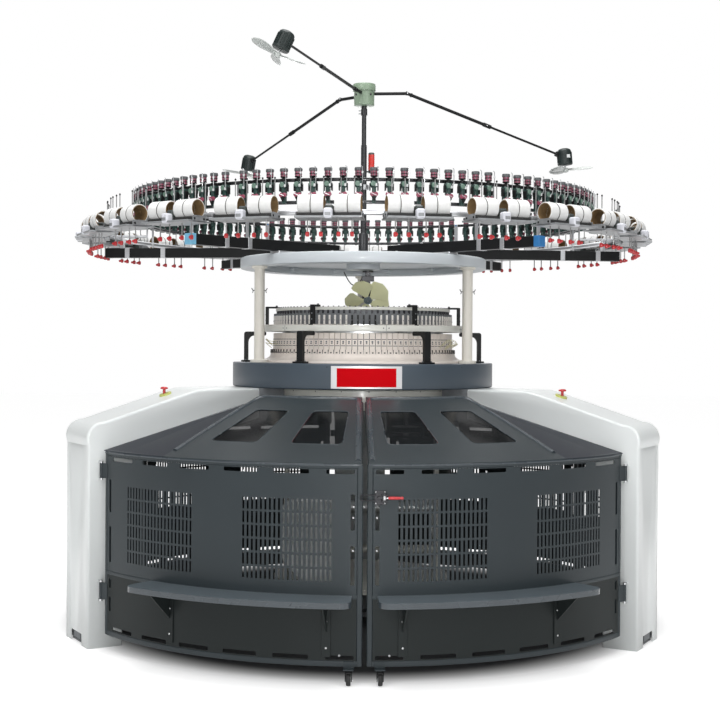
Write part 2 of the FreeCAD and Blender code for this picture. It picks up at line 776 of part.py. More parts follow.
def caster():
    """Fork and wheel of the caster under the meeting edge of a right-hand door."""
    centre = vec(0, -caster_circle, 0)
    axle_height = caster_radius + caster_lift
    fork_top = guard_bottom - 6
    cheek_in = caster_width / 2 + running_gap
    cheek_out = cheek_in + 4
    trail = centre.y - caster_trail
    crown = block(-cheek_out, cheek_out, trail - 14, centre.y + 16, fork_top - 9, fork_top - 4)
    cheeks = [block(min(s * cheek_in, s * cheek_out), max(s * cheek_in, s * cheek_out),
                    trail - 9, centre.y + 6, axle_height - 8, fork_top - 9) for s in (-1, 1)]
    axle = Part.makeCylinder(caster_axle, 2 * cheek_out, vec(-cheek_out, trail, axle_height),
                             vec(1, 0, 0))
    post = drum(6, fork_top - 5, 5 - fit_gap, 0, centre.y)
    fork = fused([crown, post, axle] + cheeks)
    wheel = Part.makeCylinder(caster_radius, caster_width, vec(-caster_width / 2, trail, axle_height),
                              vec(1, 0, 0))
    bore = Part.makeCylinder(caster_axle + 0.1, caster_width + 2,
                             vec(-caster_width / 2 - 1, trail, axle_height), vec(1, 0, 0))
    return turn(fork, caster_angle), turn(wheel.cut(bore), caster_angle)


def caster_plate():
    """The angle bracket on the door that the caster's fork hangs from."""
    start = guard_radius + fit_gap
    shelf = front_block(44, start, caster_circle + 22, guard_bottom - 6, guard_bottom - 1)
    back = front_block(44, start, start + 4, guard_bottom - 6, guard_bottom + 24)
    return turn(fused([shelf, back]), caster_angle)


def latch():
    """Toggle clamp on the right-hand door: a loop over the meeting edge, and its swinging handle."""
    face = guard_radius + fit_gap
    level = latch_height
    base = [block(-25, 25, -face - 5, -face, level - 30, level + 30),
            block(-85, -79, -face - 10, -face - 4, level - 14, level + 14)]
    for side in (-1, 1):
        low, high = sorted((level + side * 9, level + side * 14))
        base.append(block(-85, -20, -face - 10, -face - 4, low, high))
        low, high = sorted((level + side * latch_boss_half, level + side * 16))
        base.append(block(4, 30, -face - 30, -face - 4, low, high))
    pivot = vec(17, -face - latch_standoff, level)
    base = fused(base).cut(drum(latch_pin + 0.1, level - 17, 34, pivot.x, pivot.y))
    boss_height = 2 * latch_boss_half - running_gap
    boss = drum(7, level - boss_height / 2, boss_height, pivot.x, pivot.y)
    pin = drum(latch_pin, level - 16, 32, pivot.x, pivot.y)
    grip_start = pivot + vec(15, 0, 0)
    stem = rod(4, pivot, grip_start + vec(2, 0, 0))
    grip = rod(6.5, grip_start, grip_start + vec(latch_grip, 0, 0))
    handle = fused([boss, pin, stem, grip])
    return turn(base, latch_angle), turn(handle, latch_angle)


def guards():
    bare_frame = leaf_frame()
    fork, wheel = caster()
    base, handle = latch()
    pieces = {"frame": group(bare_frame + [caster_plate()] + hinge_barrels()),
              "skin": group([leaf_panel(), leaf_hood()]),
              "windows": group(leaf_windows()),
              "step": fused([leaf_step()] + leaf_step_brackets())}
    for piece, shape in pieces.items():
        add("door_left_" + piece, mirror(shape))
    pieces["frame"] = group([pieces["frame"], base])
    for piece, shape in pieces.items():
        add("door_right_" + piece, shape)
    add("hinge_pins", [group(hinge_pins()), mirror(group(hinge_pins()))])
    add("caster_right_fork", fork)
    add("caster_right_wheel", wheel)
    add("caster_left_fork", mirror(fork))
    add("caster_left_wheel", mirror(wheel))
    add("latch_handle", handle)
    rear = {"rear_guard_frames": group(bare_frame + leg_tabs()), "rear_guard_skins": pieces["skin"],
            "rear_guard_windows": pieces["windows"]}
    for name, shape in rear.items():
        copies = []
        for angle in (-120, 120):
            copies += [turn(shape, angle), turn(mirror(shape), angle)]
        add(name, copies)


# ---- turning parts under and in the head -------------------------------------------------------
def takedown():
    """Everything that hangs from the needle cylinder and turns with it."""
    disc_bottom = stand_height + fit_gap
    disc_top = disc_bottom + takedown_disc_thickness
    ring_top = cylinder_bottom
    ring_bottom = ring_top - 22
    parts = [band(needle_radius - needle_wall - 10, needle_radius, ring_bottom, ring_top),
             drum(takedown_disc_radius, disc_bottom, takedown_disc_thickness)]
    inner = takedown_plate_offset - takedown_plate_thickness / 2
    outer = takedown_plate_offset + takedown_plate_thickness / 2
    belt_reach = pulley_radius + fit_gap + belt_thickness
    sweep = gear_radius + pinion_radius - belt_reach - takedown_sweep_gap
    neck_half = math.sqrt(sweep ** 2 - outer ** 2)
    waist = takedown_waist
    for side in (-1, 1):
        low, high = sorted((side * inner, side * outer))
        depth = takedown_plate_width / 2
        foot = block(low, high, -depth, depth, disc_top, waist)
        neck = block(low, high, -neck_half, neck_half, waist, ring_bottom)
        parts += [foot, neck]
    frame = fused(parts)
    rollers = takedown_rollers()
    for name, place in rollers.items():
        y, z, radius = place
        bore = Part.makeCylinder(journal_radius + 0.1, 2 * outer + 4, vec(-outer - 2, y, z),
                                 vec(1, 0, 0))
        frame = frame.cut(bore)
        body = Part.makeCylinder(radius, 2 * inner - 4, vec(-inner + 2, y, z), vec(1, 0, 0))
        journal = Part.makeCylinder(journal_radius, 2 * outer, vec(-outer, y, z), vec(1, 0, 0))
        add(name, fused([body, journal]))
    bar = Part.makeCylinder(cloth_bar_radius, 2 * inner, vec(-inner, 0, cloth_bar_height),
                            vec(1, 0, 0))
    add("takedown_frame", [frame, bar])
    stand = fused([drum(stand_radius, 0, 24), drum(stand_radius / 2, 0, stand_height - 20),
                   drum(stand_radius * 0.8, stand_height - 24, 24)])
    add("takedown_stand", stand)


def takedown_rollers():
    """Across the turning frame: y, z and radius of each roller."""
    spread = takedown_roller_radius + running_gap
    return {"takedown_roller_front": (-spread, takedown_roller_height, takedown_roller_radius),
            "takedown_roller_back": (spread, takedown_roller_height, takedown_roller_radius)}


def belt_loop(first, second, big, small):
    """Face inside a belt round two pulleys."""
    way = second - first
    length = way.Length
    lean = math.acos((big - small) / length)
    along = math.atan2(way.y, way.x)

    def touch(centre, radius, angle):
        return vec(centre.x + radius * math.cos(angle), centre.y + radius * math.sin(angle), centre.z)

    a1 = touch(first, big, along + lean)
    a2 = touch(first, big, along + math.pi)
    a3 = touch(first, big, along - lean)
    b1 = touch(second, small, along - lean)
    b2 = touch(second, small, along)
    b3 = touch(second, small, along + lean)
    edges = [Part.Arc(a1, a2, a3).toShape(), Part.makeLine(a3, b1),
             Part.Arc(b1, b2, b3).toShape(), Part.makeLine(b3, a1)]
    return Part.Face(Part.Wire(edges))


def drive():
    """Main gear, pinion shaft, belt and motor."""
    add("main_gear", band(needle_radius + fit_gap, gear_radius, gear_bottom,
                          gear_bottom + gear_height))
    centre = pinion_centre()
    motor = polar(motor_circle, pinion_angle, 0)
    bracket_low = pulley_bottom - 34
    pinion = drum(pinion_radius, gear_bottom, gear_height, centre.x, centre.y)
    shaft = drum(drive_shaft_radius, bracket_low - 6, gear_bottom - bracket_low + 10,
                 centre.x, centre.y)
    big = drum(pulley_radius, pulley_bottom, pulley_width, centre.x, centre.y)
    add("drive_shaft", fused([pinion, shaft, big]))
    small = drum(motor_pulley_radius, pulley_bottom, pulley_width, motor.x, motor.y)
    stub = drum(drive_shaft_radius, bracket_low - 6, pulley_bottom - bracket_low + 8,
                motor.x, motor.y)
    add("motor_pulley", fused([small, stub]))
    level = vec(0, 0, pulley_bottom + 4)
    width = vec(0, 0, pulley_width - 8)
    outer = belt_loop(centre + level, motor + level, pulley_radius + fit_gap + belt_thickness,
                      motor_pulley_radius + fit_gap + belt_thickness).extrude(width)
    inner = belt_loop(centre + level, motor + level, pulley_radius + fit_gap,
                      motor_pulley_radius + fit_gap).extrude(width)
    add("drive_belt", outer.cut(inner))
    shelf = front_block(230, housing_radius - 44, motor_circle + 120,
                        bracket_low, bracket_low + 14)
    hangers = [block(s * 108 - 7, s * 108 + 7, -housing_radius + 8, -housing_radius + 44,
                     bracket_low, bed_bottom - housing_height) for s in (-1, 1)]
    shelf = turn(fused([shelf] + hangers), pinion_angle)
    for spot in (centre, motor):
        shelf = shelf.cut(drum(drive_shaft_radius + 0.1, bracket_low - 1, 30, spot.x, spot.y))
    body = tube(motor_radius, drive_shaft_radius + 6, bracket_low - motor_length,
                motor_length, motor.x, motor.y)
    floor_plate = drum(motor_radius, bracket_low - motor_length - 10, 10, motor.x, motor.y)
    box = front_block(90, motor_circle + motor_radius - 4, motor_circle + motor_radius + 50,
                      bracket_low - 190, bracket_low - 70)
    add("drive_motor", [fused([body, floor_plate, turn(box, pinion_angle)]), shelf])


# ---- mast and fans -----------------------------------------------------------------------------
def mast():
    """Two telescoped tubes on a foot, with a split collar and the lamp's arm."""
    foot = fused([drum(60, plate_top, 10), drum(26, plate_top, mast_foot_height)])
    lower = drum(mast_radius, plate_top + mast_foot_height, mast_top - plate_top - mast_foot_height)
    collar = drum(mast_radius + 9, collar_height - 14, 28)
    x, y = beacon_place
    arm = rod(4, vec(0, 0, beacon_bottom - 8), vec(x, y, beacon_bottom - 8))
    seat = drum(beacon_radius, beacon_bottom - 14, 14, x, y)
    socket = drum(upper_mast_radius + 0.1, mast_top - 60, 61)
    add("mast", fused([foot, lower, collar, arm, seat]).cut(socket))
    cap = drum(beacon_radius - 4, beacon_bottom + beacon_height - 12, 12, x, y)
    add("beacon", fused([drum(beacon_radius, beacon_bottom, beacon_height - 12, x, y), cap]))


def fan_axis(index):
    """The way a blower's shaft points: down, with its own lean."""
    along_x, along_y = [math.tan(math.radians(lean)) for lean in fan_leans[index]]
    return vec(along_x, along_y, -1).normalize()


def above_hub(point):
    return vec(point[0], point[1], hub_bottom + point[2])


def fan_head():
    """The slow-turning hub on its tube, with three bent arms and a motor on each."""
    hub_top = hub_bottom + hub_height
    stem = drum(upper_mast_radius, mast_top - 59, hub_bottom - mast_top + 60)
    seat = drum(mast_radius, mast_top + fit_gap, 8)
    hub = fused([drum(hub_disc_radius, hub_bottom, 12), drum(hub_radius, hub_bottom, hub_height - 10),
                 drum(hub_disc_radius, hub_top - 14, 14)])
    hub = fused([stem, seat, hub])
    arms = []
    motors = []
    for index, motor in enumerate(fan_motors):
        elbow = above_hub(fan_elbows[index])
        end = above_hub(motor)
        axis = fan_axis(index)
        way = (end - elbow).normalize()
        joint = elbow + (end - elbow) * 0.5
        stop = end - way * (fan_motor_radius + fan_arm_grip)
        root = fused([rod(fan_arm_radius, vec(0, 0, elbow.z), elbow),
                      Part.makeSphere(fan_arm_radius, elbow)])
        reach = fused([rod(fan_arm_radius, elbow, joint),
                       rod(fan_arm_radius + 3, joint - way * 25, joint + way * 25),
                       rod(fan_arm_tip_radius, joint, stop)])
        arms += [root.cut(hub), reach.cut(root)]
        body = rod(fan_motor_radius, end - axis * fan_motor_height / 2,
                   end + axis * fan_motor_height / 2)
        face = end + axis * fan_motor_height / 2
        stub = rod(5, face, face + axis * (fan_blade_standoff + 14))
        motors.append(fused([body, stub, rod(fan_arm_tip_radius, end, stop)]))
    add("fan_head", [hub] + arms + motors)


def fan_blades(radius, width, count, centre, axis, hub):
    """A hub with flat blades set at a pitch, in the plane across the axis."""
    parts = [drum(hub, -10, 26)]
    for k in range(count):
        blade = block(hub - 6, radius, -width / 2, width / 2, -1.5, 1.5)
        blade.rotate(vec(0, 0, 0), vec(1, 0, 0), 24)
        blade.rotate(vec(0, 0, 0), vec(0, 0, 1), 360.0 * k / count)
        parts.append(blade)
    shape = fused(parts).cut(drum(5.05, -30, 80))
    shape.rotate(vec(0, 0, 0), vec(0, 0, 1), 90)
    placement = FreeCAD.Placement(centre, FreeCAD.Rotation(vec(0, 0, 1), axis))
    shape.Placement = placement.multiply(shape.Placement)
    return shape


def fans():
    for index, name in enumerate(("front", "back", "right")):
        axis = fan_axis(index)
        centre = above_hub(fan_motors[index]) + axis * (fan_motor_height / 2 + fan_blade_standoff)
        add("fan_prop_" + name, fan_blades(fan_blade_radius, fan_blade_width, fan_blade_count,
                                           centre, axis, 16))
    centre, axis = centre_fan()
    foot = centre - axis * 78
    top = drum(30, plate_bottom - 10, 10, centre.x, foot.y)
    post = block(centre.x - 14, centre.x + 14, foot.y - 14, foot.y + 14, foot.z, plate_bottom - 8)
    body = rod(30, foot, centre - axis * 14)
    stub = rod(5, centre - axis * 15, centre + axis * 14)
    add("centre_fan_motor", fused([top, post, body, stub]))
    add("centre_fan_blades", fan_blades(centre_fan_radius, centre_fan_width, centre_fan_blades,
                                        centre, axis, 22))


def centre_fan():
    """The blower that blows the needles clean: its place and the way its shaft points."""
    lean = math.radians(centre_fan_tilt)
    return vec(*centre_fan_place), vec(0, -math.sin(lean), -math.cos(lean))


# ---- yarn feeder ring and yarn roll ring -------------------------------------------------------
def ring_arms():
    """Box arms from the top plate, and the hangers that carry the two rings."""
    arm_top = arm_bottom + arm_height
    inner_ring_inner = feeder_inner_radius()
    pad_top = arm_bottom
    arms = []
    post_outer = inner_ring_inner - fit_gap
    for angle in short_arm_angles + long_arm_angles:
        short = angle in short_arm_angles
        outer = short_arm_outer_radius if short else long_arm_outer_radius
        arm = front_block(arm_width, arm_inner_radius, outer, arm_bottom, arm_top)
        pad = front_block(arm_width + 20, arm_inner_radius + 20, plate_radius - 20, plate_top, pad_top)
        pieces = [arm, pad]
        post = front_block(strap_width, post_outer - 6, post_outer, arm_top, feeder_ring_levels[1][1])
        if not short:
            pieces.append(front_block(arm_width, roll_ring_inner - ring_post_depth,
                                      roll_ring_inner - fit_gap, arm_top - 1, roll_ring_top))
        arms.append(turn(fused(pieces), angle))
        arms.append(turn(post, angle))
    hangers = []
    hanger_bottom = roll_ring_bottom + 6
    for angle in bracket_angles:
        stem = front_block(strap_width, post_outer - 6, post_outer, hanger_bottom,
                           feeder_ring_levels[1][1])
        reach = front_block(strap_width, post_outer - 6, roll_ring_inner - fit_gap,
                            hanger_bottom, hanger_bottom + 12)
        hangers.append(turn(fused([stem, reach]), angle))
    add("ring_arms", arms + hangers)


def feeder_inner_radius():
    return feeder_circle - feeder_body_depth / 2 - feeder_ring_width - fit_gap


def feeder_angles():
    angles = []
    segment = 360.0 / feeder_segments
    span = feeder_pitch * (feeders_per_segment - 1)
    for index in range(feeder_segments):
        for k in range(feeders_per_segment):
            angles.append(index * segment - span / 2 + feeder_pitch * k)
    return angles


def yarn_feeders():
    inner = feeder_inner_radius()
    levels = [band(inner, inner + feeder_ring_width, low, high) for low, high in feeder_ring_levels]
    add("ring_rails", levels + [roll_ring_bar()])
    bodies = []
    wheels = []
    near = feeder_circle - feeder_body_depth / 2
    for angle in feeder_angles():
        body = front_block(feeder_body_width, near, near + feeder_body_depth,
                           feeder_body_bottom, feeder_body_top)
        jaw = front_block(feeder_body_width * 0.6, near + 4, near + 30,
                          feeder_ring_levels[0][0], feeder_body_bottom)
        bodies.append(turn(body.fuse(jaw).removeSplitter(), angle))
        wheel = drum(feeder_wheel_radius, feeder_wheel_bottom - 3 + fit_gap,
                     feeder_wheel_height + 3, 0, -feeder_circle)
        wheels.append(turn(wheel, angle))
    add("feeder_bodies", bodies)
    add("feeder_wheels", wheels)


def roll_angles():
    pitch = 360.0 / roll_units
    return [pitch * (k + 0.5) + roll_ring_twist for k in range(roll_units)]


def yarn_roll_unit():
    """One driven cradle at the front: a shallow tray, its drive box, four rollers and four rolls."""
    tray = front_block(unit_length, roll_circle - cradle_width / 2, roll_circle + cradle_width / 2,
                       cradle_bottom, cradle_bottom + cradle_height)
    room = front_block(unit_length - 2 * cradle_wall, roll_circle - cradle_width / 2 + cradle_wall,
                       roll_circle + cradle_width / 2 - cradle_wall,
                       cradle_bottom + cradle_wall, cradle_bottom + cradle_height + 1)
    box_bottom = cradle_bottom + cradle_wall
    box = front_block(unit_box_width, roll_circle - cradle_width / 2 + cradle_wall + fit_gap,
                      roll_circle + cradle_width / 2 - cradle_wall - fit_gap,
                      box_bottom, box_bottom + unit_box_height)
    saddle = front_block(saddle_width, roll_ring_inner, roll_ring_outer + cradle_wall,
                         cradle_bottom, roll_ring_bottom)
    cheek = block(unit_length / 2 - cradle_wall, unit_length / 2, -(roll_circle + cheek_reach),
                  -(roll_circle - cheek_reach), cradle_bottom, cradle_bottom + cheek_height)
    fixed = [fused([tray.cut(room), saddle, cheek, mirror(cheek)]), box]
    rolls = []
    rollers = []
    inner_end = unit_box_width / 2 + fit_gap
    outer_end = unit_length / 2 - cradle_wall - fit_gap
    for side in (-1, 1):
        for spread in (-roller_spread, roller_spread):
            start = min(side * inner_end, side * outer_end)
            rollers.append(Part.makeCylinder(
                roller_radius, outer_end - inner_end,
                vec(start, -(roll_circle + spread), roll_height - roller_drop), vec(1, 0, 0)))
        for slot in (0, 1):
            first = side * (unit_box_width / 2 + 4 + slot * (roll_width + 3))
            start = min(first, first + side * roll_width)
            roll = Part.makeCylinder(roll_radius, roll_width, vec(start, -roll_circle, roll_height),
                                     vec(1, 0, 0))
            bore = Part.makeCylinder(roll_bore_radius, roll_width + 2,
                                     vec(start - 1, -roll_circle, roll_height), vec(1, 0, 0))
            rolls.append(roll.cut(bore))
    return fixed, rolls, rollers


def roll_ring_bar():
    return band(roll_ring_inner, roll_ring_outer, roll_ring_bottom, roll_ring_top)


def yarn_roll_ring():
    fixed, rolls, rollers = yarn_roll_unit()
    ring = []
    all_rolls = []
    all_rollers = []
    stops = []
    for angle in roll_angles():
        ring += [turn(piece, angle) for piece in fixed]
        all_rolls += [turn(piece, angle) for piece in rolls]
        all_rollers += [turn(piece, angle) for piece in rollers]
        for offset in (-96, -38, 38, 96):
            stops.append(turn(stop_sensor(offset), angle))
            stops.append(turn(guide_rod(offset), angle))
    add("roll_cradles", ring)
    add("yarn_rolls", all_rolls)
    add("drive_rollers", all_rollers)
    add("yarn_stops", stops)


def stop_sensor(offset):
    """A yarn-break sensor on a stem under the tray."""
    foot = vec(offset, -roll_circle, cradle_bottom)
    head_top = cradle_bottom - stop_stem_length
    stem = rod(4, foot, vec(offset, -roll_circle, head_top - 4))
    head = rod(9, vec(offset, -roll_circle, head_top - stop_head_height),
               vec(offset, -roll_circle, head_top))
    return fused([stem, head])


def guide_rod(offset):
    """An upright rod on the ring that leads the yarn off the roll."""
    middle = (roll_ring_inner + roll_ring_outer) / 2
    angle = math.degrees(math.asin(offset / middle))
    return rod(3, polar(middle, angle, roll_ring_top),
               polar(middle, angle, roll_height + roll_radius + 92))


def build():
    legs()
    bed()
    upper_frame()
    knitting_head()
    guards()
    takedown()
    drive()
    mast()
    fan_head()
    fans()
    ring_arms()
    yarn_feeders()
    yarn_roll_ring()


build()
os.makedirs("parts", exist_ok=True)
for node_name, node_shape in nodes.items():
    node_shape.exportStep("parts/" + node_name + ".step")
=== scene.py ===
import math
import random
from itertools import product

import bmesh
import bpy
from mathutils import Matrix, Vector
from mathutils.geometry import delaunay_2d_cdt


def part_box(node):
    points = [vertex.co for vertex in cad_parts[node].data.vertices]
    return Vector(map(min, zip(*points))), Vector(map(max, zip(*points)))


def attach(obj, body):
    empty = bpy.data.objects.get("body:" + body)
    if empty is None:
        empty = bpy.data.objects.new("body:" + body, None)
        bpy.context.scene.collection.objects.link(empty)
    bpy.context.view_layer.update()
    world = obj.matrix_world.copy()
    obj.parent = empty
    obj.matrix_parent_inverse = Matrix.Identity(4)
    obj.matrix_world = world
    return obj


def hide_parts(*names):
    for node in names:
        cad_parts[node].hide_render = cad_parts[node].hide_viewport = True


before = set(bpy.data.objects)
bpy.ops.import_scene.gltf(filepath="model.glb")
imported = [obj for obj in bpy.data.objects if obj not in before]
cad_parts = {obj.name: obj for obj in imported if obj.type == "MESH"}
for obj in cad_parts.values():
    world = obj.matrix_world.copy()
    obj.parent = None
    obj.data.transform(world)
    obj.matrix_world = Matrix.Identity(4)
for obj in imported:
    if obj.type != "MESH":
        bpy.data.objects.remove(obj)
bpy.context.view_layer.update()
scene = bpy.context.scene
rng = random.Random(34)

# Metres.  The machine's axis is Z, the front is -Y, and angles are in degrees from the front,
# positive towards +X, as in the frame.


# ---- sizes taken from the frame ------------------------------------------------------------------
def heights(node):
    low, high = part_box(node)
    return low.z, high.z


def outer_radius(node):
    """Half the width of a round node that is centred on the axis."""
    low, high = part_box(node)
    return (high.x - low.x) / 2


BED_LOW, BED_HIGH = heights("bed_ring")
BED_RADIUS = outer_radius("bed_ring")
PLATE_LOW, PLATE_HIGH = heights("top_plate")
PLATE_RADIUS = outer_radius("top_plate")
LEG_ANGLES = (-60.0, 60.0, 180.0)
FEEDS = 102
FEED_STEP = 360.0 / FEEDS
BOTH = (-1, 1)


# ---- mesh helpers ----------------------------------------------------------------------------------
def spot(radius, angle, z):
    turn = math.radians(angle)
    return Vector((radius * math.sin(turn), -radius * math.cos(turn), z))


def spin(angle):
    """Turns what was built at the front to its place round the machine."""
    return Matrix.Rotation(math.radians(angle), 4, "Z")


def tip(angle):
    return Matrix.Rotation(math.radians(angle), 4, "X")


def move(x, y, z):
    return Matrix.Translation((x, y, z))


def across(x, y, z):
    """Carries +Z onto +X at a point."""
    return move(x, y, z) @ Matrix.Rotation(math.radians(90), 4, "Y")


def shaft_place(centre, axis):
    """Carries +Z onto the way a shaft points."""
    return Matrix.Translation(centre) @ Vector((0, 0, 1)).rotation_difference(axis).to_matrix().to_4x4()


def oblong(a0, a1, b0, b1):
    return [(a0, b0), (a1, b0), (a1, b1), (a0, b1)]


def button(radius, top, bottom, ease, base=0.0):
    """Outline of a round cap: flat top, eased edge and straight side down to its bottom."""
    return [(0.0, top), (radius - ease, top), (radius, base), (radius, bottom)]


def span(side, near, far):
    """The low and high end of a stretch on one side of the middle."""
    return sorted((side * near, side * far))


def rounded(corners, radius, steps=4):
    """A closed outline with each corner rounded."""
    result = []
    n = len(corners)
    for i in range(n):
        here = Vector(corners[i])
        before = Vector(corners[i - 1]) - here
        after = Vector(corners[(i + 1) % n]) - here
        reach = min(radius, before.length * 0.45, after.length * 0.45)
        a = here + before.normalized() * reach
        b = here + after.normalized() * reach
        for k in range(steps + 1):
            t = k / steps
            result.append(tuple(a.lerp(here, t).lerp(here.lerp(b, t), t)))
    return result


class Shape:
    """Collects vertices and faces, each face with a material number."""

    def __init__(self):
        self.points, self.faces, self.marks = [], [], []
        self.bends = {}

    def add(self, points, faces, mark=0, place=None):
        base = len(self.points)
        if place is not None:
            points = [place @ Vector(p) for p in points]
        self.points += [tuple(p) for p in points]
        self.faces += [tuple(base + i for i in face) for face in faces]
        self.marks += [mark] * len(faces)

    def box(self, low, high, mark=0, place=None, bevel=0.0):
        """A box whose edges are cut back by a bevel when one is given."""
        low, high = Vector(low), Vector(high)
        centre, half = (low + high) / 2, (high - low) / 2
        cut = min(bevel, min(half) / 1.005)
        if cut <= 0:
            points = [(x, y, z) for z in (low.z, high.z) for y in (low.y, high.y) for x in (low.x, high.x)]
            faces = [(0, 2, 3, 1), (4, 5, 7, 6), (0, 1, 5, 4), (2, 6, 7, 3), (0, 4, 6, 2), (1, 3, 7, 5)]
            self.add(points, faces, mark, place)
            return
        points = []
        index = {}
        for signs in product(BOTH, repeat=3):
            for axis in range(3):
                offset = half - Vector((cut, cut, cut))
                offset[axis] = half[axis]
                index[(*signs, axis)] = len(points)
                points.append(centre + offset * Vector(signs))

        def point(axis, side, su, sv, which):
            """The point at one corner that lies on the face across the axis called which."""
            signs = [0, 0, 0]
            signs[axis], signs[(axis + 1) % 3], signs[(axis + 2) % 3] = side, su, sv
            return index[(*signs, which)]

        faces = []
        for axis, side in product(range(3), BOTH):
            ring = [point(axis, side, su, sv, axis) for su, sv in ((-1, -1), (1, -1), (1, 1), (-1, 1))]
            faces.append(ring[::side])
        for axis, su, sv in product(range(3), BOTH, BOTH):
            u, v = (axis + 1) % 3, (axis + 2) % 3
            edge = [point(axis, side, su, sv, which) for side, which in ((-1, u), (1, u), (1, v), (-1, v))]
            faces.append(edge[::su * sv])
        for signs in product(BOTH, repeat=3):
            corner = [index[(*signs, axis)] for axis in range(3)]
            faces.append(corner[::signs[0] * signs[1] * signs[2]])
        self.add(points, faces, mark, place)

    def slab(self, half, ys, zs, mark=0, place=None, bevel=0.0):
        """A box that is as wide to the left as to the right."""
        self.box((-half, min(ys), min(zs)), (half, max(ys), max(zs)), mark, place, bevel)

    def lathe(self, outline, mark=0, place=None, sides=32, closed=False, start=0.0, sweep=360.0):
        """Turns an (r, z) outline about Z; a closed one that stops short of a full turn gets end faces."""
        full = sweep == 360.0
        count = sides if full else sides + 1
        n = len(outline)
        points = [spot(r, start + sweep * i / sides, z) for i in range(count) for r, z in outline]
        faces = []
        for i in range(sides):
            j = (i + 1) % count
            for k in range(n if closed else n - 1):
                m = (k + 1) % n
                faces.append((i * n + k, i * n + m, j * n + m, j * n + k))
        if closed and not full:
            faces += [range(n), range(count * n - 1, (count - 1) * n - 1, -1)]
        self.add(points, faces, mark, place)

    def tube(self, path, radius, mark=0, place=None, sides=12, caps=True):
        """A round bar along a list of points; radius may be a list."""
        path = [Vector(p) for p in path]
        last = len(path) - 1
        radii = radius if isinstance(radius, list) else [radius] * len(path)
        points = []
        normal = (path[1] - path[0]).normalized().orthogonal().normalized()
        for i, p in enumerate(path):
            way = (path[min(i + 1, last)] - path[max(i - 1, 0)]).normalized()
            normal = (normal - way * normal.dot(way)).normalized()
            side = way.cross(normal)
            for k in range(sides):
                a = 2 * math.pi * k / sides
                points.append(p + (normal * math.cos(a) + side * math.sin(a)) * radii[i])
        faces = []
        for i in range(last):
            for k in range(sides):
                m = (k + 1) % sides
                faces.append((i * sides + k, i * sides + m, (i + 1) * sides + m, (i + 1) * sides + k))
        if caps:
            faces += [range(sides - 1, -1, -1), range(last * sides, (last + 1) * sides)]
        self.add(points, faces, mark, place)

    def prism(self, outline, low, high, mark=0, place=None, along_y=False):
        """A (y, z) outline pushed along X, or an (x, z) outline pushed along Y."""
        points = [(a, level, b) if along_y else (level, a, b) for level in (low, high) for a, b in outline]
        n = len(outline)
        faces = [(i, (i + 1) % n, n + (i + 1) % n, n + i) for i in range(n)]
        self.add(points, faces + [range(n - 1, -1, -1), range(n, 2 * n)], mark, place)

    def sheet(self, grid, thick, mark, place):
        """A thin closed sheet from rows of points, with its thickness along Z."""
        rows, columns = len(grid), len(grid[0])
        points = [p + Vector((0, 0, lift)) for lift in (-thick / 2, thick / 2) for row in grid for p in row]
        n = rows * columns
        faces = []
        for i in range(rows - 1):
            for j in range(columns - 1):
                a = i * columns + j
                quad = (a, a + 1, a + columns + 1, a + columns)
                faces += [quad[::-1], tuple(q + n for q in quad)]
        rim = list(range(columns)) + [i * columns + columns - 1 for i in range(1, rows)]
        rim += [(rows - 1) * columns + j for j in range(columns - 2, -1, -1)]
        rim += [i * columns for i in range(rows - 2, 0, -1)]
        faces += [(a, b, b + n, a + n) for a, b in zip(rim, rim[1:] + rim[:1])]
        self.add(points, faces, mark, place)

    def screw(self, place, radius, mark, sides=8):
        """A low domed head at the place's origin, facing -Y."""
        outline = [(0.0, radius * 0.55), (radius * 0.55, radius * 0.45), (radius, 0.0)]
        self.lathe(outline, mark, place @ tip(90), sides=sides)

    def piece(self, name, materials, slot, replaces=(), body="root", smooth=35.0, bevel=0.0, segments=2,
              weld=0.0):
        """Makes the object, gives it its materials and lets it ride on a body."""
        mesh = bpy.data.meshes.new(name)
        mesh.from_pydata(self.points, [], self.faces)
        mesh.polygons.foreach_set("material_index", self.marks)
        for material in materials:
            mesh.materials.append(material)
        mesh.validate()
        thing = bpy.data.objects.new(name, mesh)
        scene.collection.objects.link(thing)
        tidy_mesh(mesh, weld)
        if bevel > 0:
            bevel_edges(thing, bevel, segments, smooth + 5)
        mesh.polygons.foreach_set("use_smooth", [True] * len(mesh.polygons))
        mesh.set_sharp_from_angle(angle=math.radians(smooth))
        if self.bends:
            bend_normals(mesh, self.bends)
        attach(thing, body)
        if replaces:
            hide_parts(*replaces)
        return thing


def tidy_mesh(mesh, weld):
    """Joins points that lie within the weld distance and turns all faces outwards."""
    work = bmesh.new()
    work.from_mesh(mesh)
    if weld > 0:
        bmesh.ops.remove_doubles(work, verts=work.verts, dist=weld)
    bmesh.ops.recalc_face_normals(work, faces=work.faces)
    work.to_mesh(mesh)
    work.free()


def bevel_edges(thing, width, segments, angle):
    """Rounds the edges that are sharper than an angle."""
    edge = thing.modifiers.new("edge", "BEVEL")
    edge.width = width
    edge.segments = segments
    edge.limit_method = "ANGLE"
    edge.angle_limit = math.radians(angle)


def bend_normals(mesh, bends):
    """Gives the corners of a sheet the normal of the true curve; bends is by vertex and material."""
    wanted = [Vector(corner.vector) for corner in mesh.corner_normals]
    for face in mesh.polygons:
        for i in face.loop_indices:
            bend = bends.get((mesh.loops[i].vertex_index, face.material_index))
            if bend is not None and abs(bend.dot(face.normal)) > 0.7:
                wanted[i] = bend if bend.dot(face.normal) > 0 else -bend
    mesh.normals_split_custom_set(wanted)


# ---- materials -------------------------------------------------------------------------------------
def feed(node, inputs):
    """Sets a node's inputs, each to a value or to the output that it is linked from."""
    for name, value in inputs.items():
        if isinstance(value, bpy.types.NodeSocket):
            node.id_data.links.new(value, node.inputs[name])
        else:
            node.inputs[name].default_value = value


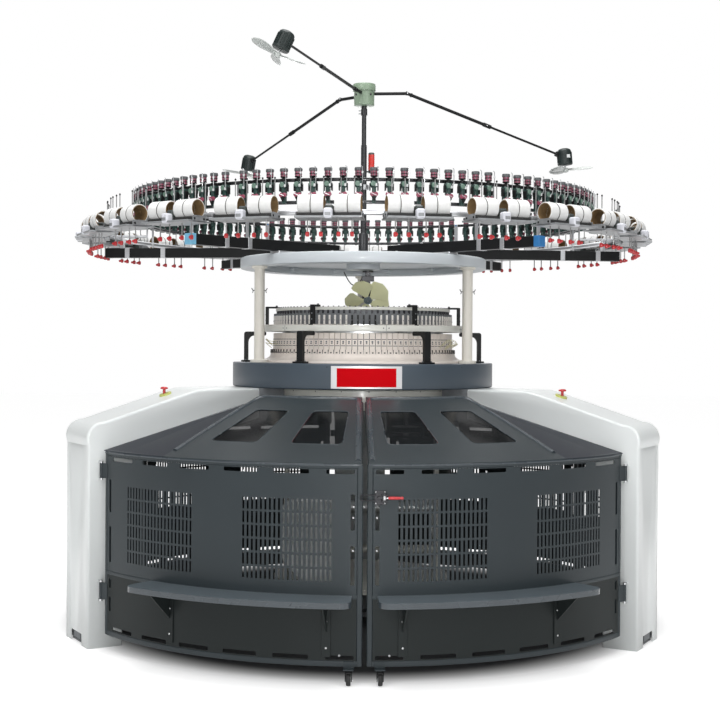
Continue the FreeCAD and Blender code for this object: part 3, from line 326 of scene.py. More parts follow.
def add_node(tree, kind, inputs, out=0, **settings):
    """Adds a shader node and hands back one of its outputs."""
    node = tree.nodes.new("ShaderNode" + kind)
    for name, value in settings.items():
        setattr(node, name, value)
    feed(node, inputs)
    return node.outputs[out]


def add_math(tree, operation, first, second):
    return add_node(tree, "Math", {0: first, 1: second}, operation=operation)


def new_material(name):
    material = bpy.data.materials.new(name)
    material.use_nodes = True
    return material, material.node_tree, material.node_tree.nodes["Principled BSDF"]


def add_relief(tree, where, scale, detail, strength, depth):
    """Fine bumps from a noise at the given points."""
    grains = add_node(tree, "TexNoise", {"Vector": where, "Scale": scale, "Detail": detail})
    raised = add_node(tree, "Bump", {"Height": grains, "Strength": strength, "Distance": depth})
    feed(tree.nodes["Principled BSDF"], {"Normal": raised})


def finish(name, colour, rough=0.5, metal=0.0, vary=0.06, grain=40.0, bump=0.0, bump_scale=400.0,
           rough_vary=0.08, stretch=(1, 1, 1), coat=0.0, sheen=0.0, gloss=0.5):
    """A surface with its own colour drift, roughness drift and fine relief, in object space."""
    material, tree, shader = new_material(name)
    where = add_node(tree, "TexCoord", {}, "Object")
    place = add_node(tree, "Mapping", {"Vector": where, "Scale": stretch})
    drift = add_node(tree, "TexNoise", {"Vector": place, "Scale": grain, "Detail": 4.0})
    ramp = add_node(tree, "ValToRGB", {"Fac": drift})
    for stop, position, factor in zip(ramp.node.color_ramp.elements, (0.3, 0.7), (1 - vary, 1 + vary)):
        stop.position = position
        stop.color = (*[min(1.0, c * factor) for c in colour], 1)
    roughness = add_node(tree, "MapRange", {"Value": drift, "To Min": max(0.03, rough - rough_vary),
                                            "To Max": min(1.0, rough + rough_vary)})
    feed(shader, {"Base Color": ramp, "Metallic": metal, "Roughness": roughness, "Specular IOR Level": gloss,
                  "Coat Weight": coat, "Coat Roughness": 0.12, "Sheen Weight": sheen})
    if bump > 0:
        add_relief(tree, place, bump_scale, 2.0, bump, 0.001)
    return material


def clear_finish(name, colour, rough, alpha):
    """Thin clear sheet."""
    material = finish(name, colour, rough=rough, vary=0.03, grain=6.0, rough_vary=0.02, gloss=0.15)
    feed(material.node_tree.nodes["Principled BSDF"], {"Alpha": alpha})
    material.surface_render_method = "BLENDED"
    return material


def yarn_finish(name, colour):
    """Wound yarn: fine crossing threads round the roll, soft and matt."""
    material = finish(name, colour, rough=0.9, vary=0.03, grain=60.0, sheen=0.3)
    tree = material.node_tree
    add_relief(tree, add_node(tree, "TexCoord", {}, "Object"), 900.0, 3.0, 0.5, 0.0008)
    return material


PEARL = finish("pearl_paint", (0.80, 0.83, 0.825), rough=0.38, vary=0.012, grain=2.5, bump=0.08,
               bump_scale=260.0, coat=0.25)
SLATE = finish("slate_paint", (0.028, 0.037, 0.042), rough=0.42, vary=0.10, grain=2.0, bump=0.22, gloss=0.26,
               bump_scale=700.0, rough_vary=0.06, coat=0.1)
# slate paint of the round rims and step edges: glossier than the sheets, and lighter than them as a painted
# highlight
RIM_WITH_PAINTED_HIGHLIGHT = finish("rim_paint_with_painted_highlight", (0.042, 0.054, 0.064), rough=0.27, vary=0.08, grain=8.0, bump=0.03,
             coat=0.3)
# lighter slate for the top of the step: painted highlight
TREAD_TOP_HIGHLIGHT = finish("tread_top_painted_highlight", (0.105, 0.128, 0.145), rough=0.32, vary=0.08, grain=8.0, bump=0.10, coat=0.3)
# darker slate for the panel below the middle rail and for the step brackets: painted shade under the step
SLATE_UNDER_STEP_SHADE = finish("slate_painted_shade_under_step", (0.016, 0.020, 0.020), rough=0.48, vary=0.10, grain=2.0, bump=0.22,
                   bump_scale=700.0, gloss=0.2)
SLATE_DARK = finish("slate_shadow_paint", (0.020, 0.024, 0.033), rough=0.5, vary=0.08, grain=2.0, gloss=0.26,
                    bump=0.22, bump_scale=700.0)
BED_PAINT = finish("bed_paint", (0.050, 0.070, 0.092), rough=0.38, vary=0.07, grain=3.0, bump=0.12,
                   bump_scale=500.0, coat=0.2)
PLATE_PAINT = finish("plate_paint", (0.56, 0.60, 0.63), rough=0.42, vary=0.03, grain=4.0, bump=0.1,
                     bump_scale=400.0, coat=0.1)
BEIGE = finish("pillar_paint", (0.74, 0.71, 0.64), rough=0.4, vary=0.03, grain=12.0, bump=0.06)
CREAM = finish("cam_paint", (0.80, 0.73, 0.67), rough=0.45, vary=0.05, grain=25.0, bump=0.08)
STEEL = finish("turned_steel", (0.55, 0.56, 0.57), rough=0.3, metal=1.0, vary=0.06, grain=80.0)
ALU = finish("rolled_aluminium", (0.62, 0.63, 0.65), rough=0.34, metal=0.9, vary=0.06, grain=50.0,
             stretch=(1, 1, 6), bump=0.05)
BLACK = finish("black_paint", (0.007, 0.0075, 0.008), rough=0.42, vary=0.15, grain=20.0, bump=0.1, gloss=0.22)
BLACK_METAL = finish("blackened_steel", (0.03, 0.03, 0.034), rough=0.38, metal=0.4, vary=0.15,
                     grain=30.0)
RUBBER = finish("black_rubber", (0.02, 0.02, 0.02), rough=0.7, vary=0.2, grain=60.0, bump=0.2)
RING_GREY = finish("ring_paint", (0.66, 0.66, 0.61), rough=0.38, vary=0.04, grain=12.0, bump=0.06, coat=0.1)
GUIDE_LIGHT = finish("guide_plastic", (0.74, 0.71, 0.67), rough=0.45, vary=0.06, grain=60.0)
CAM_SEAM = finish("cam_seam", (0.045, 0.042, 0.038), rough=0.6, vary=0.10, grain=60.0)
# near-black metal: on the mast, a painted reflection of dark surroundings on bright tube; the feeder rings and
# the tube in the hub also use it
DARK_METAL_AND_PAINTED_REFLECTION = finish("dark_metal_and_painted_reflection", (0.030, 0.031, 0.034), rough=0.28, metal=0.3, vary=0.12, grain=30.0,
                    coat=0.3)
MOTOR_GREEN = finish("motor_dark_green", (0.009, 0.017, 0.016), rough=0.4, vary=0.12, grain=30.0, bump=0.2)
DARK_GREY = finish("dark_cap", (0.09, 0.09, 0.085), rough=0.45, vary=0.1, grain=40.0)
WHEEL_TOP = finish("wheel_top_grey", (0.11, 0.115, 0.12), rough=0.35, metal=0.2, vary=0.1, grain=50.0)
BLOWER_HUB = finish("blower_hub", (0.20, 0.25, 0.27), rough=0.4, vary=0.08, grain=40.0)
TRAY_GREY = finish("tray_grey", (0.30, 0.31, 0.32), rough=0.42, metal=0.5, vary=0.08, grain=50.0)
ROD_GREY = finish("rod_grey", (0.34, 0.34, 0.34), rough=0.35, metal=0.6, vary=0.06, grain=60.0)
BOX_DARK = finish("box_dark", (0.045, 0.055, 0.052), rough=0.45, vary=0.1, grain=40.0)
BOX_WHITE = finish("box_white", (0.66, 0.67, 0.72), rough=0.4, vary=0.04, grain=30.0)
FEEDER_PALE = finish("feeder_pale_green", (0.14, 0.23, 0.18), rough=0.35, vary=0.10, grain=40.0, coat=0.2)
GUN = finish("grey_casting", (0.16, 0.17, 0.18), rough=0.6, vary=0.1, grain=30.0, bump=0.3)
RED = finish("signal_red", (0.55, 0.025, 0.03), rough=0.3, vary=0.05, grain=20.0, coat=0.3)
SIGN_RED = finish("sign_red", (0.56, 0.0, 0.004), rough=0.75, vary=0.02, grain=6.0, gloss=0.08)
SIGN_SILVER = finish("sign_silver", (0.66, 0.66, 0.67), rough=0.4, metal=0.3, vary=0.03, grain=8.0)
LIME = finish("fan_plastic", (0.93, 0.93, 0.58), rough=0.5, vary=0.03, grain=12.0, gloss=0.3)
YELLOW = finish("stop_yellow", (0.55, 0.58, 0.16), rough=0.4, vary=0.05, grain=30.0)
PALE_GREEN = finish("hub_enamel", (0.23, 0.31, 0.22), rough=0.35, vary=0.05, grain=15.0, coat=0.3)
DARK_GREEN = finish("feeder_green", (0.014, 0.048, 0.040), rough=0.32, vary=0.15, grain=40.0, coat=0.15)
BURGUNDY = finish("wheel_burgundy", (0.30, 0.055, 0.10), rough=0.35, vary=0.1, grain=50.0, coat=0.2)
WHEEL_GREY = finish("wheel_grey", (0.26, 0.17, 0.20), rough=0.3, metal=0.5, vary=0.08, grain=50.0)
WHITE_PLASTIC = finish("white_plastic", (0.72, 0.74, 0.74), rough=0.35, vary=0.03, grain=20.0)
PROP_WHITE = finish("milky_blade", (0.56, 0.59, 0.57), rough=0.3, vary=0.03, grain=10.0, coat=0.3)
YARN = yarn_finish("wound_yarn", (0.78, 0.78, 0.77))
CARDBOARD = finish("paper_core", (0.24, 0.155, 0.07), rough=0.8, vary=0.12, grain=60.0, bump=0.2)
BLUE = finish("end_cap_blue", (0.03, 0.20, 0.50), rough=0.4, vary=0.05, grain=20.0)
BLUE_LIGHT = finish("end_cap_pale_blue", (0.20, 0.50, 0.72), rough=0.4, vary=0.05, grain=20.0)
WIRE_YELLOW = finish("wire_cream", (0.60, 0.56, 0.36), rough=0.5, vary=0.05, grain=30.0)
# tinted window panes, made near black and mostly opaque as painted shade for the dark inside of the machine
PANE_WITH_PAINTED_SHADE = clear_finish("tinted_pane_with_painted_shade", (0.008, 0.009, 0.010), 0.12, 0.66)
LENS = finish("lamp_lens", (0.62, 0.03, 0.02), rough=0.2, vary=0.06, grain=40.0, coat=0.5)


# ---- legs ------------------------------------------------------------------------------------------
LEG_WIDTH = 0.327
LEG_OUTER = 1.578
LEG_INNER = 1.406
LEG_FLAT = 1.020
SHOULDER = (1.478, 0.955)
SHOULDER_REACH = 0.100
NOTCH_WIDTH = 0.150
NOTCH_HEIGHT = 0.055
SHEET = 0.003


def leg_profile():
    """Side outline of a leg cover, from the floor outside, over the top, to the floor inside."""
    points = [(LEG_OUTER, 0.0)]
    for i in range(13):
        t = i / 12
        angle = math.radians(-3 + 82 * t)
        reach = SHOULDER_REACH + 0.0085 * t + 0.012 * math.sin(math.pi * t)
        points.append((SHOULDER[0] + reach * math.cos(angle), SHOULDER[1] + reach * math.sin(angle)))
    points += [(LEG_FLAT + 0.05, BED_LOW - 0.0145), (LEG_FLAT, BED_LOW - 0.003), (LEG_FLAT - 0.06, BED_LOW)]
    points += [(BED_RADIUS + 0.001, BED_LOW), (BED_RADIUS + 0.001, BED_LOW - 0.150)]
    points += [(0.850, 1.017), (1.250, 0.930), (LEG_INNER, 0.760), (LEG_INNER, 0.0)]
    return points


def leg_covers():
    shape = Shape()
    profile = leg_profile()
    n = len(profile)
    half, notch = LEG_WIDTH / 2, NOTCH_WIDTH / 2
    open_end = 17       # the stretch that stands against the bed
    outer, top = profile[1]
    for angle in LEG_ANGLES:
        points = [(x, -r, z) for x in (-half, half) for r, z in profile]
        faces = [range(n), range(2 * n - 1, n - 1, -1)]
        faces += [(i, i + 1, n + i + 1, n + i) for i in range(1, n - 1) if i != open_end]
        shape.add(points, faces, 0, spin(angle))
        # the outer end sheet, open at its foot
        grid = [(-half, 0), (-notch, 0), (-notch, NOTCH_HEIGHT), (notch, NOTCH_HEIGHT), (notch, 0), (half, 0),
                (half, top), (notch, top), (-notch, top), (-half, top)]
        shape.add([(x, -outer, z) for x, z in grid], [(0, 1, 2, 8, 9), (2, 3, 7, 8), (3, 4, 5, 6, 7)], 0,
                  spin(angle))
    cover = shape.piece("leg_cover_skins", [PEARL], "white_paint", ["leg_covers"], weld=0.0005)
    bevel_edges(cover, 0.011, 4, 40)
    wall = cover.modifiers.new("wall", "SOLIDIFY")
    wall.thickness = SHEET
    wall.offset = -1


def vent_plates():
    """Dark slotted plates behind the opening at the foot of each leg."""
    shape = Shape()
    face = -(LEG_OUTER - 0.012)
    for angle in LEG_ANGLES:
        shape.slab(0.09, (face, face + 0.004), (0.004, 0.062), 0, spin(angle), bevel=0.001)
        for k in range(6):
            x = -0.055 + 0.022 * k
            shape.box((x - 0.005, face - 0.002, 0.012), (x + 0.005, face, 0.048), 1, spin(angle), bevel=0.001)
    shape.piece("leg_vents", [GUN, BLACK], "cast_grey", smooth=30)


# ---- sheets with holes -----------------------------------------------------------------------------
def inside(point, outline):
    x, y = point
    hit = False
    for (xi, yi), (xj, yj) in zip(outline, outline[-1:] + outline[:-1]):
        if (yi > y) != (yj > y) and x < (xj - xi) * (y - yi) / (yj - yi) + xi:
            hit = not hit
    return hit


def sheet_faces(outline, holes, step, seams):
    """Triangles of a flat outline less its holes; seams are lines that no triangle crosses."""
    points = []
    edges = []
    for corners in [outline] + holes:
        base = len(points)
        for a, b in zip(corners, corners[1:] + corners[:1]):
            parts = max(1, math.ceil(abs(b[0] - a[0]) / step))
            for t in [k / parts for k in range(parts)]:
                points.append(Vector((a[0] + (b[0] - a[0]) * t, a[1] + (b[1] - a[1]) * t)))
        count = len(points) - base
        edges += [(base + k, base + (k + 1) % count) for k in range(count)]
    for a, b in seams:
        edges.append((len(points), len(points) + 1))
        points += [Vector(a), Vector(b)]
    verts, _, faces, _, _, _ = delaunay_2d_cdt(points, edges, [], 0, 1e-7)
    boxes = [(min(p[0] for p in h), max(p[0] for p in h), min(p[1] for p in h), max(p[1] for p in h), h)
             for h in holes]
    kept = []
    for face in faces:
        centre = sum((verts[i] for i in face), Vector((0, 0))) / len(face)
        in_hole = any(x0 < centre.x < x1 and y0 < centre.y < y1 and inside(centre, h)
                      for x0, x1, y0, y1, h in boxes)
        if inside(centre, outline) and not in_hole:
            kept.append(tuple(face))
    return [tuple(v) for v in verts], kept


def sheet_solid(shape, verts, groups, where, bend, place):
    """A sheet with two sides and cut edges; groups holds the faces of each material in turn."""
    base, n = len(shape.points), len(verts)
    shape.add([where(u, v, side) for side in (1, -1) for u, v in verts], [], 0, place)
    open_edges = {}
    for mark, group in enumerate(groups):
        two_sides = group + [tuple(n + i for i in reversed(face)) for face in group]
        shape.faces += [tuple(base + i for i in face) for face in two_sides]
        shape.marks += [mark] * len(two_sides)
        for face in group:
            for i, a in enumerate(face):
                b = face[(i + 1) % len(face)]
                if open_edges.pop((b, a), None) is None:
                    open_edges[(a, b)] = mark
                normal = place.to_3x3() @ Vector(bend(*verts[a], mark))
                shape.bends[(base + a, mark)] = shape.bends[(base + n + a, mark)] = normal
    for (a, b), mark in open_edges.items():
        shape.faces.append((base + b, base + a, base + n + a, base + n + b))
        shape.marks.append(mark)


# ---- guards ----------------------------------------------------------------------------------------
GUARD = 1.520
TUBE = 0.025
GUARD_LOW = 0.071
GUARD_MIDDLE = 0.356
GUARD_TOP = 0.9267
PANEL_HIGH = 0.9065
LEAF_START = 0.35
LEAF_END = 52.45
HOOD_INNER = (0.800, 1.180)
HOOD_OUTER = (1.520, 0.930)
HOOD_START = 0.6
SIDE_GAP = LEG_WIDTH / 2 + 0.021
CREASE = ((1.452, 35.6), (0.815, 38.0))
HOOD_WINDOWS = ((4.2, 14.2), (21.0, 31.4))
WINDOW_RADII = (0.970, 1.335)
WINDOW_CORNER = 0.028
SLOT_PITCH = 8.7
SLOT_WIDTH = 5.9
VENT_FIELDS = ((5.1, 20.4), (29.6, 45.3))
VENT_COLUMNS = 20
VENT_ROWS = 6
BRACKET_ANGLES = (6.1, 34.2)
BRACKET_BOLT = 0.150
LATCH_ANGLE = 2.4
LATCH_FACE = -(GUARD + 0.0003)
LATCH_LEVEL = 0.786
CASTER_ANGLE = 2.45
CASTER_TOP = GUARD_LOW - 0.006
HINGE_CIRCLE = 1.532


def arc_degrees(length, radius=GUARD):
    return math.degrees(length / radius)


PANEL_START = LEAF_START + arc_degrees(TUBE)
PANEL_END = LEAF_END - arc_degrees(TUBE)
PANEL_SCALE = math.radians(1) * (GUARD - SHEET / 2)
HOOD_SCALE = math.radians(1) * 1.16


def cone_height(radius):
    run = (radius - HOOD_INNER[0]) / (HOOD_OUTER[0] - HOOD_INNER[0])
    return HOOD_INNER[1] + run * (HOOD_OUTER[1] - HOOD_INNER[1])


def leg_side_angle(radius, gap=SIDE_GAP):
    """Where a circle round the machine meets the line beside the right-hand leg."""
    return 60.0 - math.degrees(math.asin(gap / radius))


def crease_angle(radius):
    t = (radius - CREASE[0][0]) / (CREASE[1][0] - CREASE[0][0])
    return CREASE[0][1] + t * (CREASE[1][1] - CREASE[0][1])


def hood_height(radius, angle):
    """The cone, with the side field past the crease folded down towards the leg."""
    start = crease_angle(radius)
    past = min(1.0, max(0.0, (angle - start) / max(0.5, leg_side_angle(radius) - start)))
    fall = 0.043 * max(0.0, 1.520 - radius) / 0.685
    return cone_height(radius) - fall * past


def hood_tube(shape, radius, drop, path, place, sides=8):
    """A round bar that follows the underside of the hood."""
    shape.tube([spot(r, a, hood_height(r, a) - drop) for r, a in path], radius, 0, place, sides=sides)


def ring_bar(shape, radii, levels, start, end, mark, place, edge=0.004):
    """A curved bar with rounded edges, along an arc round the machine."""
    outline = rounded(oblong(*radii, *levels), edge, 3)
    shape.lathe(outline, mark, place, sides=26, closed=True, start=start, sweep=end - start)


def panel_holes():
    """Slots near the rails and posts, and two fields of vents, as (start, end, bottom, top, corner)."""
    low = GUARD_LOW + TUBE
    for k in range(6):
        start = max(0.3 + SLOT_PITCH * k, PANEL_START + 0.4)
        end = 0.3 + SLOT_PITCH * k + SLOT_WIDTH
        yield start, end, PANEL_HIGH - 0.022, PANEL_HIGH - 0.004, 0.003
        yield start, end, low + 0.004, low + 0.022, 0.003
    near_end = (PANEL_END - 1.2, PANEL_END - 0.55)
    for bottom, top in ((0.647, 0.798), (0.415, 0.580)):
        yield PANEL_START + 0.35, PANEL_START + 1.0, bottom, top, 0.002
        yield *near_end, bottom, top, 0.002
    for bottom, top in ((0.296, 0.340), (0.187, 0.253)):
        yield *near_end, bottom, top, 0.002
    half = arc_degrees(0.0045)
    for start, end in VENT_FIELDS:
        for column, row in product(range(VENT_COLUMNS), range(VENT_ROWS)):
            centre = start + (end - start) / VENT_COLUMNS * (column + 0.5)
            bottom = 0.431 + 0.059 * row
            yield centre - half, centre + half, bottom, bottom + 0.050, 0


def panel_sheet(shape, place):
    """The curved vent panel between the rails."""
    low = GUARD_LOW + TUBE
    start, end = PANEL_START * PANEL_SCALE, PANEL_END * PANEL_SCALE
    holes = []
    for first, last, bottom, top, corner in panel_holes():
        hole = oblong(first * PANEL_SCALE, last * PANEL_SCALE, bottom, top)
        holes.append(rounded(hole, corner, 1) if corner > 0 else hole)
    seams = [((start + 0.0005, GUARD_MIDDLE), (end - 0.0005, GUARD_MIDDLE))]
    for k in range(1, 50):
        u = (PANEL_START + (PANEL_END - PANEL_START) * k / 50 + 0.013) * PANEL_SCALE
        seams.append(((u, low + 0.0005), (u, PANEL_HIGH - 0.0005)))
    verts, faces = sheet_faces(oblong(start, end, low, PANEL_HIGH), holes, 0.04, seams)

    def where(u, v, side):
        return spot(GUARD - SHEET / 2 + side * SHEET / 2, u / PANEL_SCALE, v)

    def bend(u, v, mark):
        return spot(1.0, u / PANEL_SCALE, 0.0)

    # faces below the middle rail take the third finish, the darker slate painted as shade under the step
    groups = ([], [], [])
    for face in faces:
        level = sum(verts[i][1] for i in face) / len(face)
        groups[0 if level > GUARD_MIDDLE else 2].append(face)
    sheet_solid(shape, verts, groups, where, bend, place)


def window_outline(start, end):
    return rounded(oblong(start * HOOD_SCALE, end * HOOD_SCALE, *WINDOW_RADII), WINDOW_CORNER, 4)


def hood_sheet(shape, place):
    """The sloping hood: a cone sheet with two windows and a darker side field past the crease."""
    outline = [(HOOD_START * HOOD_SCALE, HOOD_INNER[0]), (HOOD_START * HOOD_SCALE, HOOD_OUTER[0])]
    for i in range(17):
        radius = HOOD_OUTER[0] + (HOOD_INNER[0] - HOOD_OUTER[0]) * i / 16
        outline.append((leg_side_angle(radius) * HOOD_SCALE, radius))
    seams = []
    for k in range(1, 52):
        beside_leg = SIDE_GAP / math.sin(math.radians(60.0 - k)) + 0.002
        top = beside_leg if k > 46 else HOOD_INNER[0] + 0.0005
        seams.append(((k * HOOD_SCALE, HOOD_OUTER[0] - 0.0005), (k * HOOD_SCALE, top)))
    verts, faces = sheet_faces(outline, [window_outline(*window) for window in HOOD_WINDOWS], 0.03, seams)

    def where(u, v, side):
        return spot(v, u / HOOD_SCALE, hood_height(v, u / HOOD_SCALE) - SHEET / 2 + side * SHEET / 2)

    def bend(u, v, past):
        """The sheet's normal, taken on one side of the crease only."""
        other = u / HOOD_SCALE + (0.3 if past else -0.3)
        here = where(u, v, 1)
        along = where(u, v - 0.004, 1) - here
        return along.cross(spot(v, other, hood_height(v, other)) - here).normalized()

    groups = ([], [])
    for face in faces:
        centre = sum((Vector(verts[i]) for i in face), Vector((0, 0))) / len(face)
        groups[centre.x / HOOD_SCALE > crease_angle(centre.y)].append(face)
    sheet_solid(shape, verts, groups, where, bend, place)


def hood_rim(shape, place):
    """Rounded tube round the hood: crease, top edge, meeting edge; and the rolled lower edge."""
    (r0, a0), (r1, a1) = CREASE
    path = [(r0 + (r1 + 0.02 - r0) * i / 8, a0 + (a1 - a0) * i / 8) for i in range(9)]
    path += [(0.819, 37.3), (0.813, 36.0)]
    path += [(0.813, 36.0 - 2.0 * k) for k in range(1, 16)]
    path += [(0.814, 4.6), (0.818, 3.0), (0.828, 2.0), (0.845, HOOD_START + arc_degrees(0.015, 0.845))]
    path += [(r, HOOD_START + arc_degrees(0.0145, r)) for r in (0.95, 1.1, 1.25, 1.4, 1.49)]
    shape.tube([spot(r, a, cone_height(r) - 0.007) for r, a in path], 0.014, 0, place, sides=12)
    beside = [(r, leg_side_angle(r, SIDE_GAP + 0.007)) for r in (1.515, 1.3, 1.1, 0.9, 0.815)]
    hood_tube(shape, 0.006, 0.005, beside, place, sides=10)
    lower = [spot(1.509, HOOD_START + k, 0.9215) for k in range(52)] + [spot(1.509, 52.6, 0.9215)]
    shape.tube(lower, 0.0115, 0, place, sides=12)


def window_trim(shape, place):
    """Folded edge round each hood window."""
    for window in HOOD_WINDOWS:
        path = [spot(v, u / HOOD_SCALE, cone_height(v) - 0.001) for u, v in window_outline(*window)]
        shape.tube(path + path[:1], 0.0026, 0, place, sides=6, caps=False)


def leaf_frame_bars(shape, place):
    """Rails, end posts and the bars under the hood."""
    inner = GUARD - TUBE
    for radii, levels, edge in (((inner, GUARD + 0.001), (GUARD_LOW, GUARD_LOW + TUBE), 0.004),
                                ((inner, GUARD - 0.004), (GUARD_MIDDLE - TUBE, GUARD_MIDDLE), 0.004),
                                ((inner, GUARD), (PANEL_HIGH + 0.0002, GUARD_TOP), 0.004),
                                ((GUARD - 0.004, GUARD + 0.003), (0.358, 0.374), 0.002)):
        ring_bar(shape, radii, levels, PANEL_START - 0.1, PANEL_END + 0.1, 0, place, edge)
    post_angle = LEAF_START + arc_degrees(TUBE / 2)
    for angle in (post_angle, LEAF_END - arc_degrees(TUBE / 2)):
        shape.slab(TUBE / 2, (-GUARD - 0.001, -inner), (GUARD_LOW, GUARD_TOP - 0.001), 0, place @ spin(angle),
                   bevel=0.004)
    hood_tube(shape, 0.010, 0.018, [(r, post_angle) for r in (0.83, 1.495)], place)
    beside = [(r, leg_side_angle(r, SIDE_GAP + 0.0125)) for r in (1.49, 1.2, 0.9, 0.83)]
    hood_tube(shape, 0.010, 0.018, beside, place)
    hood_tube(shape, 0.011, 0.016, [(0.8125, 1.0 + 45.0 * k / 20) for k in range(21)], place)


def leaf_bolts(shape, place):
    """Small bright screws along the posts and rails, and through the step brackets."""
    for angle, level in ((1.9, 0.700), (1.9, 0.560), (BRACKET_ANGLES[0], BRACKET_BOLT),
                         (BRACKET_ANGLES[1], BRACKET_BOLT), (4.0, 0.118), (20.0, 0.889), (37.5, 0.889)):
        lift = 0.0065 if level == BRACKET_BOLT else 0
        shape.screw(place @ spin(angle) @ move(0, -GUARD - lift, level), 0.005, 2, 10)


def step_shape(shape, place):
    """The tread: a curved plate with rounded outer corners; its top is painted lighter, a painted highlight."""
    inner, outer = 1.5205, 1.690
    start, end = 2.0, 38.5
    corner = 0.050
    steps = 30
    turn = arc_degrees(corner, outer)

    def corner_point(degrees, side_angle, side):
        t = math.radians(degrees)
        reach = arc_degrees(corner * math.cos(t), outer)
        return outer - corner + corner * math.sin(t), side_angle + side * reach

    outline = [(inner, start + (end - start) * i / steps) for i in range(steps + 1)]
    outline += [corner_point(15 * i, end - turn, 1) for i in range(7)]
    outline += [(outer, end - turn - (end - start - 2 * turn) * i / steps) for i in range(1, steps)]
    outline += [corner_point(90 - 15 * i, start + turn, -1) for i in range(7)]
    n = len(outline)
    # the flat sides as triangles between the inner and the outer edge
    near, far = list(range(steps + 1)), list(range(n - 1, steps, -1))
    flat = []
    i = j = 0
    while i < steps or j < len(far) - 1:
        use_near = j == len(far) - 1 or (i < steps and outline[near[i + 1]][1] <= outline[far[j + 1]][1])
        flat.append((near[i], near[i + 1] if use_near else far[j + 1], far[j]))
        i, j = (i + 1, j) if use_near else (i, j + 1)
    points = [spot(r, a, z) for z in (0.347, 0.372) for r, a in outline]
    shape.add(points, [(i, (i + 1) % n, n + (i + 1) % n, n + i) for i in range(n)] + flat, 0, place)
    # the top faces take the third finish, the lighter slate painted as highlight
    base = len(shape.points) - n
    shape.faces += [tuple(base + i for i in face) for face in flat]
    shape.marks += [2] * len(flat)


def step_brackets(shape, place):
    back = GUARD + 0.0006
    for angle in BRACKET_ANGLES:
        at = place @ spin(angle)
        # the bracket's upright and web take the fourth finish, the darker slate painted as shade under the
        # tread
        shape.slab(0.020, (-back - 0.005, -back), (0.112, 0.346), 3, at, bevel=0.001)
        web = [(-(back + 0.004), 0.346), (-1.648, 0.346), (-1.648, 0.336), (-(back + 0.004), 0.217)]
        shape.prism(web, -0.003, 0.003, 3, at)
        shape.slab(0.018, (-1.645, -back - 0.004), (0.343, 0.3465), 0, at, bevel=0.001)
        shape.screw(at @ move(0, -back - 0.005, 0.262), 0.005, 1, 10)


def hinge_shape(shape, place):
    """Barrels round the hinge pins, with a strap from each to the end post."""
    beside_leg = LEG_WIDTH / 2 + 0.0205
    centre = spin(60.0) @ Vector((-beside_leg, -math.sqrt(HINGE_CIRCLE ** 2 - beside_leg ** 2), 0))
    way = spot(GUARD + 0.002, LEAF_END - 0.5, 0) - centre
    at = place @ Matrix.Translation(centre)
    for low, high in ((0.235, 0.313), (0.801, 0.870)):
        barrel = rounded(oblong(0.0, 0.008, low, high), 0.0015, 2)
        shape.lathe(barrel[2:-2], 0, at, sides=16)
        strap = at @ Matrix.Rotation(math.atan2(way.y, way.x), 4, "Z")
        shape.box((0.0, -0.003, low), (way.length + 0.01, 0.003, high), 0, strap, bevel=0.001)


def latch_base(shape, place):
    """Toggle clamp: a base plate, two ears, and a wire loop over the meeting edge."""
    at = place @ spin(LATCH_ANGLE)
    face, level = LATCH_FACE, LATCH_LEVEL
    shape.slab(0.025, (face - 0.005, face), (level - 0.030, level + 0.030), 1, at, bevel=0.0015)
    for side in BOTH:
        z0, z1 = span(side, 0.010, 0.016)
        shape.box((0.004, face - 0.030, level + z0), (0.030, face - 0.004, level + z1), 1, at, bevel=0.001)
        wire = [(x, face - 0.007, level + side * 0.0115) for x in (-0.020, -0.080)]
        shape.tube(wire, 0.0026, 1, at, sides=8)
    loop_end = [(-0.081, face - 0.007, level + side * 0.0135) for side in BOTH]
    shape.tube(loop_end, 0.0030, 1, at, sides=8)
    shape.box((-0.012, face - 0.016, level - 0.006), (0.010, face - 0.004, level + 0.006), 1, at, bevel=0.001)
    for dx, dz in product((-0.019, 0.019), (-0.024, 0.024)):
        shape.screw(at @ move(dx, face - 0.005, level + dz), 0.0035, 2)


def latch_handle():
    shape = Shape()
    at = spin(LATCH_ANGLE)
    pivot = Vector((0.017, LATCH_FACE - 0.020, LATCH_LEVEL))
    rise = Vector((0, 0, 0.0175))
    boss = rounded(oblong(0.0, 0.007, -0.0093, 0.0093), 0.001, 1)
    shape.lathe(boss[1:-1], 1, at @ Matrix.Translation(pivot), sides=16)
    shape.tube([pivot - rise, pivot + rise], 0.003, 1, at, sides=10)
    shape.tube([pivot, pivot + Vector((0.018, 0, 0))], 0.004, 1, at, sides=10)
    grip = [(0.015, 0.0045), (0.017, 0.0062), (0.034, 0.0066), (0.060, 0.0060), (0.066, 0.0050),
            (0.071, 0.0062), (0.076, 0.0066), (0.079, 0.0050)]
    shape.tube([pivot + Vector((x, 0, 0)) for x, _ in grip], [r for _, r in grip], 0, at, sides=14)
    shape.piece("latch_handle_shape", [RED, STEEL], "red_plastic", ["latch_handle"], "latch_handle",
                smooth=40)


